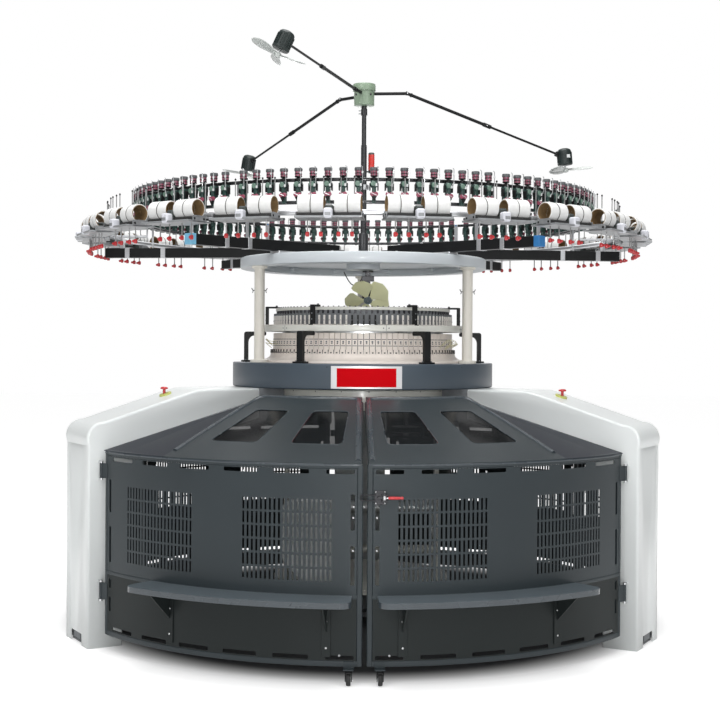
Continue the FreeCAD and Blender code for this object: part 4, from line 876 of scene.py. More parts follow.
def caster(name, place):
    """Swivel fork and wheel; the fork hangs from its plate on the door."""
    at = place @ spin(CASTER_ANGLE)
    circle, axle = 1.545, 0.0256
    y = -circle - 0.012
    fork = Shape()
    swivel = [(0.0, -0.0005), (0.014, -0.0005), (0.0155, -0.003), (0.0155, -0.0075), (0.0, -0.0075)]
    fork.lathe(swivel, 0, at @ move(0, -circle, CASTER_TOP), sides=20)
    fork.slab(0.0150, (y - 0.012, -circle + 0.016), (CASTER_TOP - 0.009, CASTER_TOP - 0.006), 0, at,
              bevel=0.001)
    for side in BOTH:
        cheek = [(-circle + 0.012, CASTER_TOP - 0.007), (y - 0.011, CASTER_TOP - 0.007),
                 (y - 0.010, axle + 0.004), (y, axle - 0.009), (y + 0.010, axle + 0.001)]
        fork.prism(cheek, *span(side, 0.0110, 0.0148), 0, at)
    hub = at @ across(0, y, axle)
    fork.lathe([(0.0, -0.0165), (0.0048, -0.0165), (0.0048, 0.0165), (0.0, 0.0165)], 1, hub, sides=12)
    fork.piece(name + "_fork_shape", [BLACK, STEEL], "steel", [name + "_fork"], name + "_fork", bevel=0.0006,
               segments=1)
    wheel = Shape()
    half = [(0.0055, 0.0085), (0.0165, 0.0085), (0.0175, 0.0098), (0.0225, 0.0098), (0.0248, 0.007),
            (0.025, 0.003)]
    outline = [(r, -x) for r, x in half] + half[::-1]
    for part, mark in ((outline[3:9], 0), (outline[:4], 1), (outline[8:], 1), ([outline[-1], outline[0]], 1)):
        wheel.lathe(part, mark, hub)
    wheel.piece(name + "_wheel_shape", [RUBBER, WHITE_PLASTIC], "black_rubber", [name + "_wheel"],
                name + "_wheel", smooth=40, weld=0.00005)


def leaf(name, places, body, nodes, door=False):
    """The shapes of a guard leaf at one or more places, as pieces for frame, rims, sheets and tread."""
    bars, rims, sheets, tread = Shape(), Shape(), Shape(), Shape()
    for place in places:
        leaf_frame_bars(bars, place)
        leaf_bolts(bars, place)
        hood_rim(rims, place)
        window_trim(rims, place)
        panel_sheet(sheets, place)
        hood_sheet(sheets, place)
        if door:
            hinge_shape(bars, place)
            for front, height in ((-1.567, 0.005), (-1.5245, 0.030)):
                bars.slab(0.022, (front, -1.5205), (CASTER_TOP, CASTER_TOP + height), 0,
                          place @ spin(CASTER_ANGLE), bevel=0.001)
            step_shape(tread, place)
            step_brackets(tread, place)
            continue
        # a black rubber skirt towards the floor, put in as painted shade so that the gap under the rear leaves
        # stays dark, and tabs that bolt the leaf to the leg
        ring_bar(bars, (GUARD - 0.019, GUARD - 0.015), (0.004, GUARD_LOW + 0.004), LEAF_START + 0.3,
                 LEAF_END - 0.3, 3, place, 0.001)
        for level in (0.140, 0.480, 0.830):
            bars.box((-LEG_WIDTH / 2 - 0.030, -1.515, level), (-LEG_WIDTH / 2, -1.501, level + 0.040), 0,
                     place @ spin(60.0), bevel=0.001)
    if name == "door_right":
        latch_base(bars, places[0])
    bars.piece(name + "_frame_bars", [SLATE, BLACK_METAL, STEEL, RUBBER], "slate_paint", nodes[:1], body,
               smooth=40)
    rims.piece(name + "_rims", [RIM_WITH_PAINTED_HIGHLIGHT], "slate_paint", body=body, smooth=50)
    sheets.piece(name + "_sheets", [SLATE, SLATE_DARK, SLATE_UNDER_STEP_SHADE], "slate_paint", nodes[1:2], body, smooth=20)
    if door:
        tread.piece(name + "_tread", [RIM_WITH_PAINTED_HIGHLIGHT, STEEL, TREAD_TOP_HIGHLIGHT, SLATE_UNDER_STEP_SHADE], "slate_paint", nodes[2:], body,
                    bevel=0.006, segments=3)


def guards():
    identity = Matrix.Identity(4)
    mirrored = Matrix.Diagonal((-1, 1, 1, 1))
    for door, place in (("door_right", identity), ("door_left", mirrored)):
        leaf(door, [place], door, [door + "_frame", door + "_skin", door + "_step"], True)
    rear = [spin(angle) @ side for angle in (-120, 120) for side in (identity, mirrored)]
    leaf("rear_guards", rear, "root", ["rear_guard_frames", "rear_guard_skins"])
    latch_handle()
    caster("caster_right", identity)
    caster("caster_left", mirrored)


# ---- bed, nameplate, gear housing, pillars and top plate ---------------------------------------------
HEAD_BORE = 0.482
SLOT_ANGLES = (-33, -27, -21, -15, 15, 21, 27, 33, 80, 100, 135, 165, -80, -100, -135, -165)
PILLAR_CIRCLE = 0.618
HOOK_LEVEL = 1.705
NAMEPLATE_ANGLE = 1.1
NAMEPLATE_FACE = 0.6985


def bed_shapes():
    """The round bed with eased edges, and the housing below it with its dark slots."""
    shape = Shape()
    outline = rounded(oblong(HEAD_BORE, BED_RADIUS, BED_LOW, BED_HIGH), 0.0075, 4)
    shape.lathe(outline, 0, sides=180, closed=True)
    for k in range(12):
        shape.screw(spin(30.0 * k + 15.0) @ move(0, -BED_RADIUS + 0.0005, BED_HIGH - 0.016), 0.0032, 1)
    shape.piece("bed_round", [BED_PAINT, BLACK_METAL], "slate_paint", ["bed_ring"], smooth=40)
    housing = Shape()
    radius = outer_radius("gear_housing")
    wall = oblong(HEAD_BORE, radius, heights("gear_housing")[0], BED_LOW - 0.0003)
    housing.lathe(rounded(wall, 0.004, 3), 0, sides=160, closed=True)
    for angle in SLOT_ANGLES:
        housing.slab(0.0170, (-radius - 0.0004, -radius + 0.004), (BED_LOW - 0.084, BED_LOW - 0.038), 1,
                     spin(angle), bevel=0.003)
    for k in range(24):
        housing.screw(spin(15.0 * k + 3.0) @ move(0, -radius, BED_LOW - 0.014), 0.003, 1, 6)
    housing.piece("housing_round", [RING_GREY, BLACK], "light_paint", ["gear_housing"], smooth=40)


def top_plate_shape():
    """The shallow dish the pillars carry, with bolt heads round the rim and lugs beneath."""
    low, high, r = PLATE_LOW, PLATE_HIGH, PLATE_RADIUS
    ceiling = high - 0.020
    shape = Shape()
    shape.lathe([(0.0, low), (0.088, low), (0.090, low + 0.002), (0.090, ceiling - 0.004), (0.094, ceiling),
                 (r - 0.096, ceiling), (r - 0.092, ceiling - 0.004), (r - 0.092, low + 0.003), (r - 0.089, low),
                 (r - 0.006, low), (r - 0.0018, low + 0.0018), (r, low + 0.006), (r, high - 0.008),
                 (r - 0.0022, high - 0.0024), (r - 0.0080, high), (0.0, high)], 0, sides=200)
    for k in range(12):
        at = spin(-165.0 + 30.0 * k)
        shape.slab(0.023, (0.098 - r, 0.126 - r), (ceiling - 0.022, ceiling + 0.001), 0, at, bevel=0.004)
        cap = button(0.0075, 0.0045, -0.001, 0.0015, 0.003)
        shape.lathe(cap, 1, at @ move(0, 0.045 - r, high), sides=12)
    shape.piece("plate_dish", [PLATE_PAINT, STEEL], "light_paint", ["top_plate"])


def nameplate():
    """Silver plate with a bare red field, bent to the bed's face."""
    half = arc_degrees(0.175, 0.6987)
    z0, z1 = heights("blank_nameplate")
    shape = Shape()
    for radii, wide, levels, mark in (((0.6959, NAMEPLATE_FACE), half, (z0, z1), 0),
                                      ((0.6984, 0.6990), half * 0.835, (z0 + 0.0085, z1 - 0.0105), 1)):
        shape.lathe(oblong(*radii, *levels), mark, sides=24, closed=True, start=NAMEPLATE_ANGLE - wide,
                    sweep=2 * wide)
    for side, z in product(BOTH, (z0 + 0.010, z1 - 0.010)):
        shape.screw(spin(NAMEPLATE_ANGLE + side * half * 0.94) @ move(0, -NAMEPLATE_FACE, z), 0.0035, 0)
    shape.piece("nameplate_plain", [SIGN_SILVER, SIGN_RED], "nameplate_red", ["blank_nameplate"], smooth=30)


def pillar_shapes():
    """Round pillars with a foot and a head, and two small hooks on each front one."""
    z0, z1 = BED_HIGH, PLATE_LOW
    shape = Shape()
    outline = [(0.0, z0), (0.0445, z0), (0.046, z0 + 0.0015), (0.046, z0 + 0.0125), (0.0435, z0 + 0.015),
               (0.0285, z0 + 0.0155), (0.0268, z0 + 0.019), (0.0265, z0 + 0.022), (0.0265, z1 - 0.022),
               (0.0270, z1 - 0.018), (0.0300, z1 - 0.0135), (0.0385, z1 - 0.012), (0.040, z1 - 0.0105),
               (0.040, z1 - 0.0003), (0.0, z1 - 0.0003)]
    hook = ((0, 0, 0), (0.009, -0.002, 0.002), (0.015, -0.003, 0.013))
    tail = ((0.006, -0.002, 0.001), (0.010, -0.002, -0.012))
    for angle in LEG_ANGLES:
        at = spin(angle) @ move(0, -PILLAR_CIRCLE, 0)
        shape.lathe(outline, 0, at, sides=40)
        for side in () if angle == 180.0 else BOTH:
            for path, radius in ((hook, 0.0022), (tail, 0.0020)):
                points = [(side * (0.0255 + x), y - 0.004, HOOK_LEVEL + z) for x, y, z in path]
                shape.tube(points, radius, 1, at @ spin(-angle), sides=6)
    shape.piece("pillar_set", [BEIGE, BLACK], "beige_paint", ["pillars"])


# ---- knitting head -----------------------------------------------------------------------------------
def head_sections():
    """Cam sections: cream plates with a dark seam, a row of holes and a row of screw dots."""
    z0, z1 = heights("cam_sections")
    shape = Shape()
    half = math.radians(FEED_STEP / 2) * HEAD_BORE - 0.0018
    face = [(-0.446, z0), (-0.487, z0), (-0.4865, z0 + 0.020), (-0.4825, z0 + 0.036), (-0.4815, z0 + 0.066),
            (-0.4800, z1 - 0.030), (-0.4800, z1 - 0.002), (-0.478, z1), (-0.446, z1)]
    shape.lathe(oblong(0.447, 0.472, z0, z1 - 0.001), 2, sides=120, closed=True)
    for k in range(FEEDS):
        at = spin(FEED_STEP * (k + 0.5))
        shape.prism(face, -half, half, 0, at)
        shape.screw(at @ move(0, -0.4806, z1 - 0.045), 0.0050, 1, 10)
        shape.slab(half * 0.9, (-0.4818, -0.4795), (z1 - 0.0335, z1 - 0.0305), 2, at)
        shape.slab(half * 0.9, (-0.4826, -0.4810), (z0 + 0.0735, z0 + 0.0765), 2, at)
        shape.screw(at @ move(0, -0.4832, z0 + 0.038), 0.0042, 1)
        shape.slab(0.0035, (-0.4830, -0.4805), (z0 + 0.084, z0 + 0.0885), 2, at)
    shape.piece("cam_section_set", [CREAM, GUN, CAM_SEAM], "cream_paint", ["cam_sections"], smooth=30)


def cam_saddle():
    """The skirt that rises in a hollow curve from the bed to the cams, with a dark seam for each feed."""
    saddle = Shape()
    b = BED_HIGH
    curve = [(0.446, b), (0.560, b), (0.560, b + 0.006), (0.5575, b + 0.0105), (0.552, b + 0.0125)]
    for i in range(1, 9):
        turn = i / 8 * math.pi / 2
        curve.append((0.552 - 0.0570 * math.sin(turn), b + 0.0125 + 0.0315 * (1 - math.cos(turn))))
    curve += [(0.4932, b + 0.052), (0.4895, b + 0.064), (0.4892, b + 0.068), (0.4882, b + 0.068),
              (0.4882, b + 0.0132), (0.446, b + 0.0132)]
    saddle.lathe(curve, 0, sides=128, closed=True)
    for k in range(FEEDS):
        saddle.slab(0.0040, (-0.4965, -0.4925), (b + 0.0500, b + 0.0560), 1, spin(FEED_STEP * (k + 0.5)))
        saddle.slab(0.0008, (-0.4960, -0.4890), (b + 0.0470, b + 0.0682), 1, spin(FEED_STEP * k))
    saddle.piece("cam_skirt", [CREAM, CAM_SEAM], "white_paint", ["cam_saddle"], smooth=40)


def guide_ring():
    """The light ring round the head, with joints and screws."""
    low, high = heights("yarn_guide_ring")
    shape = Shape()
    shape.lathe(rounded(oblong(0.520, 0.540, low, high), 0.002, 2), 0, sides=160, closed=True)
    for k in range(6):
        at = spin(60.0 * k + 12.0)
        shape.slab(0.0009, (-0.5406, -0.5390), (low + 0.001, high - 0.001), 1, at)
        for side in BOTH:
            shape.screw(at @ move(side * 0.014, -0.540, (low + high) / 2), 0.0035, 1)
    shape.piece("guide_ring", [RING_GREY, GUN], "light_paint", ["yarn_guide_ring"])


def yarn_guide_set():
    """Upright yarn guides, one for each feed; a few at the front are black."""
    z0, z1 = heights("yarn_guides")
    shape = Shape()
    for k in range(FEEDS):
        at = spin(FEED_STEP * k)
        colour = 1 if k <= 2 or k >= FEEDS - 2 else 0
        shape.slab(0.0045, (-0.4800, -0.4712), (z0 + 0.002, z1 - 0.014), colour, at, bevel=0.0015)
        shape.slab(0.0018, (-0.5355, -0.4720), (z0, z0 + 0.0048), colour, at)
        shape.tube([(0, -0.4755, z1 - 0.016), (0, -0.4755, z1 - 0.002)], 0.0030, 2, at, sides=8)
        shape.screw(at @ move(0, -0.4802, z0 + 0.026), 0.0026, 2)
    shape.piece("yarn_guide_set", [GUIDE_LIGHT, BLACK, GUN], "steel", ["yarn_guides"])


def sinker_ring():
    """The upper cam ring: a dark band under a light rim, with a screw for each feed."""
    z0, z1 = heights("sinker_cam_ring")
    shape = Shape()
    shape.lathe(oblong(0.440, 0.4575, z0, z1 - 0.017), 0, sides=160, closed=True)
    shape.lathe(rounded(oblong(0.440, 0.468, z1 - 0.016, z1), 0.003, 3), 1, sides=160, closed=True)
    for k in range(FEEDS):
        at = spin(FEED_STEP * (k + 0.5))
        shape.slab(0.0055, (-0.4640, -0.4570), (z1 - 0.034, z1 - 0.0165), 2, at, bevel=0.001)
        cap = button(0.0036, 0.0042, 0.0, 0.0006, 0.0032)
        shape.lathe(cap, 2, at @ move(0, -0.4600, z1), sides=8)
    shape.piece("sinker_ring", [GUN, RING_GREY, BLACK_METAL], "light_paint", ["sinker_cam_ring"])


def head_clamps():
    """Black brackets that carry the two rings."""
    shape = Shape()
    b = BED_HIGH
    ring_low, foot, cap = 1.498, 1.528, 1.622
    under = ring_low - 0.0003
    bar = rounded([(-0.638, b), (-0.638, under), (-0.520, under), (-0.520, ring_low - 0.022),
                   (-0.598, ring_low - 0.022), (-0.616, ring_low - 0.045), (-0.616, b)], 0.014, 3)
    bar[0] = (-0.638, b)
    for k in range(6):
        at = spin(-150.0 + 60.0 * k)
        shape.prism([(y, max(z, b)) for y, z in bar], -0.017, 0.017, 0, at)
        shape.slab(0.034, (-0.652, -0.604), (b, b + 0.009), 0, at, bevel=0.002)
        for side in BOTH:
            shape.lathe(button(0.0042, 0.005, 0.0, 0.0007, 0.0038), 1,
                        at @ move(side * 0.026, -0.628, b + 0.009), sides=8)
        shape.slab(0.012, (-0.524, -0.506), (foot, cap + 0.0095), 0, at, bevel=0.002)
        shape.slab(0.012, (-0.536, -0.506), (foot, foot + 0.005), 0, at, bevel=0.001)
        shape.slab(0.012, (-0.520, -0.456), (cap + 0.0003, cap + 0.010), 0, at, bevel=0.002)
        shape.lathe(button(0.0058, 0.006, 0.0, 0.0008, 0.0045), 1, at @ move(0, -0.464, cap + 0.010), sides=8)
        for z in (foot + 0.030, foot + 0.060):
            shape.screw(at @ move(0, -0.524, z), 0.004, 1)
    shape.piece("head_clamps", [BLACK, GUN], "black_paint", ["head_brackets"], bevel=0.0015)


def head_wires():
    """Thin cream leads in loops at both sides of the head."""
    shape = Shape()
    draw = random.Random(8)
    for base, count in ((62.0, 4), (-66.0, 3), (56.0, 2)):
        for _ in range(count):
            a = base + draw.uniform(-3, 3)
            r = 0.506 + draw.uniform(0, 0.006)
            z = 1.452 + draw.uniform(-0.012, 0.012)
            spread = draw.uniform(6.0, 10.0)
            lift = draw.uniform(0.012, 0.030)
            path = []
            for t in [i / 12 for i in range(13)]:
                path.append(spot(r + 0.045 * math.sin(math.pi * t), a + spread * (t - 0.5),
                                 z - 0.035 * (1 - t) + lift * math.sin(math.pi * t * 1.5)))
            shape.tube(path, 0.0016, 0, sides=6)
    shape.piece("head_wires", [WIRE_YELLOW], "cream_paint", smooth=60)


# ---- blower over the needles -------------------------------------------------------------------------
def twisted_blade(shape, place):
    """One narrow propeller blade along +X, twisted and hollowed, and rounded at its end."""
    hub, reach, root, width = 0.012, 0.1495, 0.026, 0.062
    grid = []
    for t in [i / 8 for i in range(9)]:
        swell = root + (width - root) * min(1.0, t * 1.9)
        if t > 0.75:
            swell *= math.sqrt(max(0.05, 1 - ((t - 0.75) / 0.26) ** 2))
        tilt = Matrix.Rotation(math.radians(25.0 - 10.0 * t), 3, "X")
        row = []
        for across_blade in [2 * j / 5 - 1 for j in range(6)]:
            bow = 0.10 * swell * (1 - across_blade ** 2)
            row.append(tilt @ Vector((hub + (reach - hub) * t, across_blade / 2 * swell, bow)))
        grid.append(row)
    shape.sheet(grid, 0.0016, 0, place)


def broad_blade(shape, place):
    """One broad blade: a pitched sector with rounded outer corners."""
    hub, reach, half_angle = 0.018, 0.1245, 38.0
    slope = math.tan(math.radians(17.0))
    grid = []
    for t in [i / 7 for i in range(8)]:
        radius = hub + (reach - hub) * t
        spread = half_angle * (0.62 + 0.38 * math.sin(math.pi * min(1.0, t * 1.15) * 0.5))
        if t > 0.7:
            spread *= math.sqrt(max(0.08, 1 - ((t - 0.7) / 0.315) ** 2))
        angles = [math.radians(spread * (2 * j / 8 - 1)) for j in range(9)]
        grid.append([Vector((radius * math.cos(a), radius * math.sin(a),
                             0.006 * math.cos(a * 2.2) - radius * a * slope)) for a in angles])
    shape.sheet(grid, 0.0018, 0, place)


def centre_blower():
    """The small blower that hangs under the plate: motor with cooling rings, foot, lead and blades."""
    lean = math.radians(59.0)
    centre = Vector((0.026, -0.010, PLATE_LOW - 0.161))
    axis = Vector((0, -math.sin(lean), -math.cos(lean)))
    at = shaft_place(centre, axis)
    body = Shape()
    body.lathe([(0.0, -0.080), (0.024, -0.080), (0.029, -0.074), (0.030, -0.070), (0.030, -0.024),
                (0.027, -0.016), (0.012, -0.014), (0.0, -0.014)], 0, at, sides=28)
    for k in range(5):
        ring = [(0.0300, 0), (0.0312, 0.0005), (0.0312, 0.0025), (0.0300, 0.003)]
        body.lathe(ring, 0, at @ move(0, 0, -0.064 + 0.009 * k), sides=28)
    body.lathe([(0.0, -0.016), (0.005, -0.016), (0.005, 0.013), (0.0, 0.013)], 1, at, sides=12)
    foot = centre - axis * 0.078
    under = move(foot.x, foot.y, PLATE_LOW)
    body.box((-0.0140, -0.0140, foot.z - PLATE_LOW), (0.0140, 0.0140, -0.008), 0, under, bevel=0.002)
    body.box((-0.034, -0.016, -0.058), (0.034, 0.012, -0.028), 0, under, bevel=0.003)
    body.lathe([(0.0, -0.010), (0.030, -0.010), (0.030, -0.0004), (0.0, -0.0004)], 0, under, sides=28)
    lead = [(-0.030 - 0.10 * t, -0.004 + 0.05 * t, -0.040 - 0.055 * math.sin(math.pi * t) + 0.036 * t)
            for t in [i / 14 for i in range(15)]]
    body.tube(lead, 0.0028, 0, under, sides=8)
    body.piece("centre_blower_motor", [BLACK_METAL, STEEL], "black_paint", ["centre_fan_motor"])
    blades = Shape()
    blades.lathe([(0.0055, -0.009), (0.019, -0.009), (0.0225, -0.006), (0.0225, 0.008), (0.019, 0.0145),
                  (0.0055, 0.0155)], 1, at, sides=28)
    for k in range(5):
        broad_blade(blades, at @ spin(72.0 * k + 40.0))
    blades.piece("centre_blower_blades", [LIME, BLOWER_HUB], "lime_plastic", ["centre_fan_blades"],
                 "centre_fan_blades", smooth=40)


# ---- mast, lamp and turning blowers --------------------------------------------------------------------
MAST_TOP = PLATE_HIGH + 0.607
HUB_LOW = MAST_TOP + 0.218
HUB_HEIGHT = 0.118
MOTOR_HALF = 0.0475
LAMP_PLACE = (0.041, 0.022)
# one row for each blower: elbow and motor from the hub's foot, leans along X and Y, turn of the blades
BLOWERS = (("front", (-0.045, -0.123, 0.066), (-0.376, -1.080, 0.093), (-24.0, -4.0), 10.0),
           ("back", (-0.132, 0.120, 0.057), (-0.691, 0.900, -0.181), (-11.0, 14.0), 40.0),
           ("right", (0.230, -0.020, 0.067), (1.110, 0.170, -0.240), (5.0, 1.0), 0.0))


def mast_shapes():
    """The mast with its bolted foot, a collar and the arm that carries the lamp."""
    top = PLATE_HIGH
    shape = Shape()
    # the mast tube is near black, a painted reflection on what is bright tube
    shape.lathe([(0.0, top + 0.0002), (0.060, top + 0.0002), (0.060, top + 0.008), (0.058, top + 0.010),
                 (0.030, top + 0.0105), (0.026, top + 0.014), (0.026, top + 0.138), (0.0235, top + 0.142),
                 (0.0162, top + 0.143), (0.016, top + 0.146), (0.016, MAST_TOP - 0.001),
                 (0.0150, MAST_TOP), (0.0126, MAST_TOP), (0.0126, MAST_TOP - 0.02)], 0, sides=40)
    for k in range(6):
        cap = button(0.0052, 0.016, 0.009, 0.0012, 0.0145)
        shape.lathe(cap, 1, spin(60.0 * k) @ move(0, -0.047, top), sides=10)
    collar = top + 0.389
    outline = rounded(oblong(0.0155, 0.025, collar - 0.014, collar + 0.014), 0.002, 2)
    shape.lathe(outline, 1, sides=36, closed=True)
    for side in BOTH:
        shape.slab(0.005, (-0.007, 0.007), (collar - 0.011, collar + 0.011), 1, move(side * 0.0285, 0, 0),
                   bevel=0.0015)
    low = top + 0.483
    shape.tube([(0, 0, low - 0.008), (*LAMP_PLACE, low - 0.008)], 0.004, 0, sides=10)
    shape.lathe([(0.0, low - 0.014), (0.0155, low - 0.014), (0.0175, low - 0.011), (0.0175, low - 0.0003),
                 (0.0, low - 0.0003)], 0, move(*LAMP_PLACE, 0), sides=28)
    shape.piece("mast_tubes", [DARK_METAL_AND_PAINTED_REFLECTION, STEEL], "bright_tube", ["mast"], smooth=40)


def signal_lamp():
    """A red lens with fine rings, under a dark cap."""
    lamp = Shape()
    low = PLATE_HIGH + 0.483
    high = low + 0.097
    outline = [(0.0, low), (0.0172, low), (0.0172, low + 0.002)]
    for k in range(13):
        z = low + 0.003 + 0.0062 * k
        outline += [(0.0175, z), (0.0175, z + 0.0042), (0.0168, z + 0.0052)]
    outline += [(0.0172, high - 0.013), (0.0150, high - 0.0115), (0.0, high - 0.0115)]
    lamp.lathe(outline, 0, move(*LAMP_PLACE, 0), sides=28)
    lamp.lathe([(0.0, high - 0.012), (0.0160, high - 0.012), (0.0165, high - 0.0105), (0.0160, high - 0.004),
                (0.0135, high - 0.001), (0.010, high), (0.0, high)], 1, move(*LAMP_PLACE, 0), sides=28)
    lamp.piece("signal_lamp", [LENS, DARK_GREY], "red_lens", ["beacon"], smooth=30)


def blower_arm(shape, elbow, end, axis, label_turn):
    """One arm: two tubes with an elbow and a joint, and the ribbed motor at its end."""
    arm, motor, pin, label = 3, 4, 5, 6
    way = (end - elbow).normalized()
    joint = elbow.lerp(end, 0.5)
    out = Vector((elbow.x, elbow.y, 0)).normalized()
    shape.tube([Vector((0, 0, elbow.z)) + out * 0.050, elbow], 0.0085, arm, sides=14)
    shape.tube([elbow - out * 0.004, elbow + way * 0.004], 0.0092, arm, sides=14)
    shape.tube([elbow, joint], 0.0085, arm, sides=14)
    for t in (-0.012, 0.016):
        shape.tube([elbow + way * (t + 0.004), elbow + way * (t + 0.012)], 0.0112, arm, sides=14)
    shape.screw(Matrix.Translation(elbow) @ move(0, -0.0085, 0.002), 0.006, pin, 10)
    shape.tube([joint + way * t for t in (-0.025, -0.022, 0.022, 0.025)], [0.0095, 0.0112, 0.0112, 0.0080],
               arm, sides=14)
    shape.screw(Matrix.Translation(joint) @ move(0, -0.0105, 0), 0.004, pin)
    shape.tube([joint, end - way * 0.030], 0.006, arm, sides=12)
    at = shaft_place(end, axis)
    half = MOTOR_HALF
    shape.lathe([(0.0, -half), (0.020, -half), (0.024, -half + 0.002), (0.030, -half + 0.004),
                 (0.036, -half + 0.010), (0.038, -half + 0.016), (0.038, -half + 0.020),
                 (0.0395, -half + 0.021), (0.0395, half - 0.018), (0.0420, half - 0.017),
                 (0.0420, half - 0.008), (0.038, half - 0.003), (0.014, half), (0.0, half)], motor, at,
                sides=36)
    for k in range(18):
        shape.box((0.0385, -0.0012, -half + 0.022), (0.0418, 0.0012, half - 0.018), motor, at @ spin(20.0 * k))
    shape.slab(0.010, (-0.0424, -0.0388), (-0.010, 0.008), label, at @ spin(label_turn), bevel=0.0006)
    shape.tube([end + axis * (half - 0.001), end + axis * (half + 0.035)], 0.005, pin, sides=12)
    shape.slab(0.012, (-0.012, 0.012), (-0.012, 0.012), arm, shaft_place(end - way * 0.046, way), bevel=0.003)


def turning_blowers():
    """The hub on the mast, with three arms that each carry a motor and its propeller."""
    low, high = HUB_LOW, HUB_LOW + HUB_HEIGHT
    shape = Shape()
    shape.lathe([(0.0124, MAST_TOP - 0.030), (0.0124, MAST_TOP + 0.001), (0.0158, MAST_TOP + 0.001),
                 (0.0158, MAST_TOP + 0.008), (0.0127, MAST_TOP + 0.009), (0.0127, low - 0.050),
                 (0.0175, low - 0.049), (0.0175, low - 0.016), (0.0150, low - 0.014), (0.0150, low)], 1)
    for z in (low - 0.026, low - 0.042):
        shape.tube([(-0.015, -0.004, z), (-0.030, -0.006, z)], 0.0035, 2, sides=8)
    shape.lathe([(0.0, low), (0.046, low), (0.054, low + 0.002), (0.0550, low + 0.005), (0.0550, low + 0.012),
                 (0.0555, high - 0.046), (0.0560, high - 0.040), (0.0612, high - 0.038),
                 (0.0620, high - 0.034), (0.0620, high - 0.005), (0.0600, high - 0.001), (0.054, high),
                 (0.0, high - 0.001)], 0, sides=48)
    for angle in (38.0, -52.0):
        shape.screw(spin(angle) @ move(0, -0.0552, low + 0.058), 0.007, 1, 12)
    for k in range(6):
        cap = button(0.0052, 0.002, -0.002, 0.0007, 0.0005)
        shape.lathe(cap, 2, spin(60.0 * k) @ move(0, -0.047, high), sides=10)
    foot = Vector((0, 0, low))
    for name, elbow, end, leans, turn in BLOWERS:
        axis = Vector((*[math.tan(math.radians(lean)) for lean in leans], -1)).normalized()
        end = foot + Vector(end)
        blower_arm(shape, foot + Vector(elbow), end, axis, 180 if name == "front" else 0)
        prop = Shape()
        at = shaft_place(end + axis * (MOTOR_HALF + 0.022), axis)
        prop.lathe([(0.0052, -0.0095), (0.014, -0.0095), (0.016, -0.007), (0.016, 0.008), (0.013, 0.014),
                    (0.0052, 0.0155)], 0, at, sides=24)
        for k in range(3):
            twisted_blade(prop, at @ spin(120.0 * k + 90.0 + turn))
        prop.piece("blower_prop_" + name, [PROP_WHITE], "white_plastic", ["fan_prop_" + name],
                   "fan_prop_" + name, smooth=40)
    shape.piece("blower_hub", [PALE_GREEN, DARK_METAL_AND_PAINTED_REFLECTION, STEEL, BLACK, MOTOR_GREEN, STEEL, WHITE_PLASTIC],
                "green_paint", ["fan_head"], "fan_head")


# ---- arms, feeder rings and feeders --------------------------------------------------------------------
ARM_LOW = PLATE_HIGH + 0.012
ARM_TOP = ARM_LOW + 0.052
SHORT_ARMS = (-45.0, 45.0)
LONG_ARMS = (-143.0, -97.0, 97.0, 143.0)
FEEDER_CIRCLE = 1.203
FEEDER_NEAR = FEEDER_CIRCLE - 0.022
FEEDER_FAR = FEEDER_CIRCLE + 0.022
FEEDER_LOW = ARM_LOW + 0.160
FEEDER_HIGH = FEEDER_LOW + 0.101
FEEDER_PITCH = 3.25
FEEDER_GROUPS = 6
FEEDERS_IN_GROUP = 18
RING_INNER = FEEDER_NEAR - 0.014 - 0.0003
UNITS = 24
UNIT_TWIST = 1.2
ROLL_CIRCLE = 1.438
ROLL_INNER = ROLL_CIRCLE - 0.073 - 0.024
ROLL_BAR = 0.024
CRADLE_LOW = ARM_LOW + 0.066
ROLL_HEIGHT = CRADLE_LOW + 0.061
ROLL_RING_LOW = CRADLE_LOW + 0.026


def arm_shapes():
    """Black box arms, the two short ones with a blue end cap, and the grey straps that carry the rings."""
    black, grey, blue, pale_blue = range(4)
    shape = Shape()
    post = RING_INNER - 0.0003
    strap = 0.011
    for angle in SHORT_ARMS + LONG_ARMS:
        short = angle in SHORT_ARMS
        at = spin(angle)
        outer = FEEDER_CIRCLE - 0.016 if short else ROLL_CIRCLE - 0.014
        cap = (pale_blue if angle < 0 else blue) if short else black
        shape.slab(0.025, (0.0005 - outer, -0.200), (ARM_LOW, ARM_TOP), black, at, bevel=0.002)
        shape.slab(0.0254, (-outer, 0.034 - outer), (ARM_LOW - 0.0004, ARM_TOP + 0.0004), cap, at,
                   bevel=0.0025)
        shape.slab(0.035, (0.020 - PLATE_RADIUS, -0.220), (PLATE_HIGH + 0.0002, ARM_LOW), grey, at,
                   bevel=0.003)
        for y in (-0.26, -0.42, -0.60):
            shape.lathe(button(0.008, 0.006, -0.001, 0.001, 0.005), grey, at @ move(0, y, ARM_TOP), sides=6)
        shape.slab(strap, (-post, 0.006 - post), (ARM_TOP, FEEDER_HIGH + 0.015), grey, at, bevel=0.001)
        if not short:
            shape.slab(0.025, (0.0003 - ROLL_INNER, 0.014 - ROLL_INNER),
                       (ARM_TOP - 0.001, ROLL_RING_LOW + ROLL_BAR), grey, at, bevel=0.002)
        for y in (-0.82, -0.965) if short else (-1.10, -1.30):
            shape.slab(0.0268, (y - 0.013, y + 0.013), (ARM_LOW - 0.0015, ARM_TOP + 0.0015), grey, at,
                       bevel=0.001)
    low = ROLL_RING_LOW + 0.006
    for k in range(6):
        at = spin(-150.0 + 60.0 * k)
        shape.slab(strap, (-post, 0.006 - post), (low, FEEDER_HIGH + 0.015), grey, at, bevel=0.001)
        shape.slab(strap, (0.0003 - ROLL_INNER, 0.006 - post), (low, low + 0.012), grey, at, bevel=0.002)
        for z in (FEEDER_LOW + 0.008, FEEDER_HIGH + 0.008):
            shape.screw(at @ move(0, 0.0062 - post, z) @ spin(180), 0.005, blue)
    shape.piece("ring_arm_set", [BLACK, ALU, BLUE, BLUE_LIGHT], "black_paint", ["ring_arms"])


